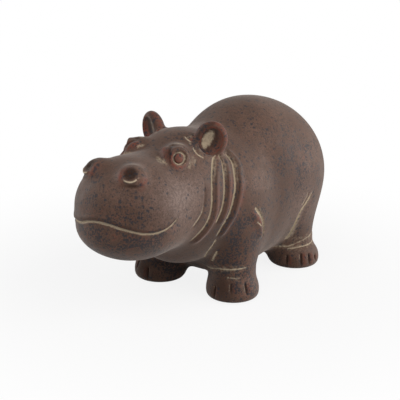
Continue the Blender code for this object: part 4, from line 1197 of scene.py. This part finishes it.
def clay():
    """Brown clay with dark grains, a cream wash in the lines, red where the edges are rubbed through, and
    painted shade and highlights.
    """
    nodes = Nodes("speckled clay")
    place = nodes.add("ShaderNodeTexCoord").outputs["Object"]
    middling = nodes.noise(place, PATCH, 4.0, 0.6)
    mottled = nodes.noise(place, MOTTLE, 3.0, 0.65)
    fine = nodes.noise(place, FINE_MOTTLE, 2.0, 0.6)
    colour, shade = bare_clay(nodes, place, middling, mottled, fine)
    grains = dark_grains(nodes, place)
    cream = cream_wash(nodes, place)
    colour = nodes.mix(nodes.times(grains, 0.85), colour, GRAIN_DARK)
    matt = nodes.times(nodes.math("MAXIMUM", cream, shade), 0.35)
    height = nodes.math("SUBTRACT", nodes.times(fine, 0.6), nodes.times(grains, 0.35))
    height = nodes.math("ADD", height, nodes.times(middling, 1.2))
    bump = nodes.add("ShaderNodeBump", {"Height": height, "Strength": 0.35, "Distance": BUMP_HEIGHT})
    nodes.shade(
        {
            "Base Color": nodes.mix(cream, colour, WASH_CREAM),
            "Roughness": nodes.math("ADD", nodes.ramp(middling, 0.3, 0.7, 0.48, 0.6), matt),
            "Specular IOR Level": nodes.ramp(shade, 0.0, 0.7, SHINE, SHINE_IN_SHADE),
            "Sheen Weight": DUSTY_SHEEN,
            "Sheen Roughness": 0.5,
            "Sheen Tint": DUST_TINT,
            "Normal": bump.outputs[0],
        }
    )
    return nodes.material


def make_floor():
    """A plain pale floor that shows white away from the statue and keeps its soft shadow."""
    mesh = bpy.data.meshes.new("floor")
    corners = [(x * FLOOR_REACH, y * FLOOR_REACH, 0.0) for x, y in ((-1, -1), (1, -1), (1, 1), (-1, 1))]
    mesh.from_pydata(corners, [], [(0, 1, 2, 3)])
    nodes = Nodes("pale floor")
    nodes.shade({"Base Color": FLOOR_COLOUR, "Roughness": 0.9})
    rays = nodes.add("ShaderNodeLightPath")
    place = nodes.add("ShaderNodeTexCoord").outputs["Object"]
    away = nodes.add("ShaderNodeVectorMath", {0: place}, operation="LENGTH").outputs["Value"]
    white = nodes.add("ShaderNodeEmission", {"Color": WHITE})
    share = nodes.ramp(away, *FLOOR_SHADOW_REACH, FLOOR_WHITE_UNDER_STATUE, 1.0)
    share = nodes.times(rays.outputs["Is Camera Ray"], share)
    mixed = nodes.add("ShaderNodeMixShader", {0: share, 1: nodes.shader.outputs[0], 2: white.outputs[0]})
    nodes.feed(nodes.tree.nodes["Material Output"].inputs["Surface"], mixed.outputs[0])
    mesh.materials.append(nodes.material)
    new_object("floor", mesh)


def make_camera(moved):
    """The photograph's camera. It was found before the statue was moved along Y, so its aim moves too."""
    back = Vector(facing(CAMERA_TURN, CAMERA_RISE)[2])
    camera = new_object("camera", bpy.data.cameras.new("camera"))
    camera.data.sensor_width = 36.0
    camera.data.lens = CAMERA_LENS
    camera.location = Vector(CAMERA_AIM) - Vector((0, moved, 0)) + CAMERA_DISTANCE * back
    camera.rotation_euler = back.to_track_quat("Z", "Y").to_euler()
    bpy.context.scene.camera = camera


def make_lights():
    """Large soft lamps: the main one high on the left side, and others behind, in front and on the right."""
    for name, turn, rise, power, tint in LAMPS:
        away = Vector(facing(turn, rise)[2])
        lamp = bpy.data.lights.new(name, "AREA")
        lamp.size = LAMP_SIZE
        lamp.energy = power
        lamp.color = tint
        thing = new_object(name, lamp)
        thing.location = Vector(LAMP_AIM) + LAMP_DISTANCE * away
        thing.rotation_euler = away.to_track_quat("Z", "Y").to_euler()


def make_world():
    """Dim even light, seen as white by the camera."""
    world = bpy.data.worlds.new("studio")
    bpy.context.scene.world = world
    world.use_nodes = True
    tree = world.node_tree
    shown = tree.nodes["Background"]
    shown.inputs["Color"].default_value = WHITE
    shown.inputs["Strength"].default_value = 1.0
    dim = tree.nodes.new("ShaderNodeBackground")
    dim.inputs["Color"].default_value = WORLD_TINT
    dim.inputs["Strength"].default_value = WORLD_LIGHT
    rays = tree.nodes.new("ShaderNodeLightPath")
    mixed = tree.nodes.new("ShaderNodeMixShader")
    for place, output in enumerate((rays.outputs["Is Camera Ray"], dim.outputs[0], shown.outputs[0])):
        tree.links.new(output, mixed.inputs[place])
    tree.links.new(mixed.outputs[0], tree.nodes["World Output"].inputs["Surface"])


statue, moved = make_statue()
statue.data.materials.append(clay())
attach(statue, "root")
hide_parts("hippopotamus")
make_floor()
make_lights()
make_world()
make_camera(moved)
bpy.context.scene.view_settings.view_transform = "Standard"
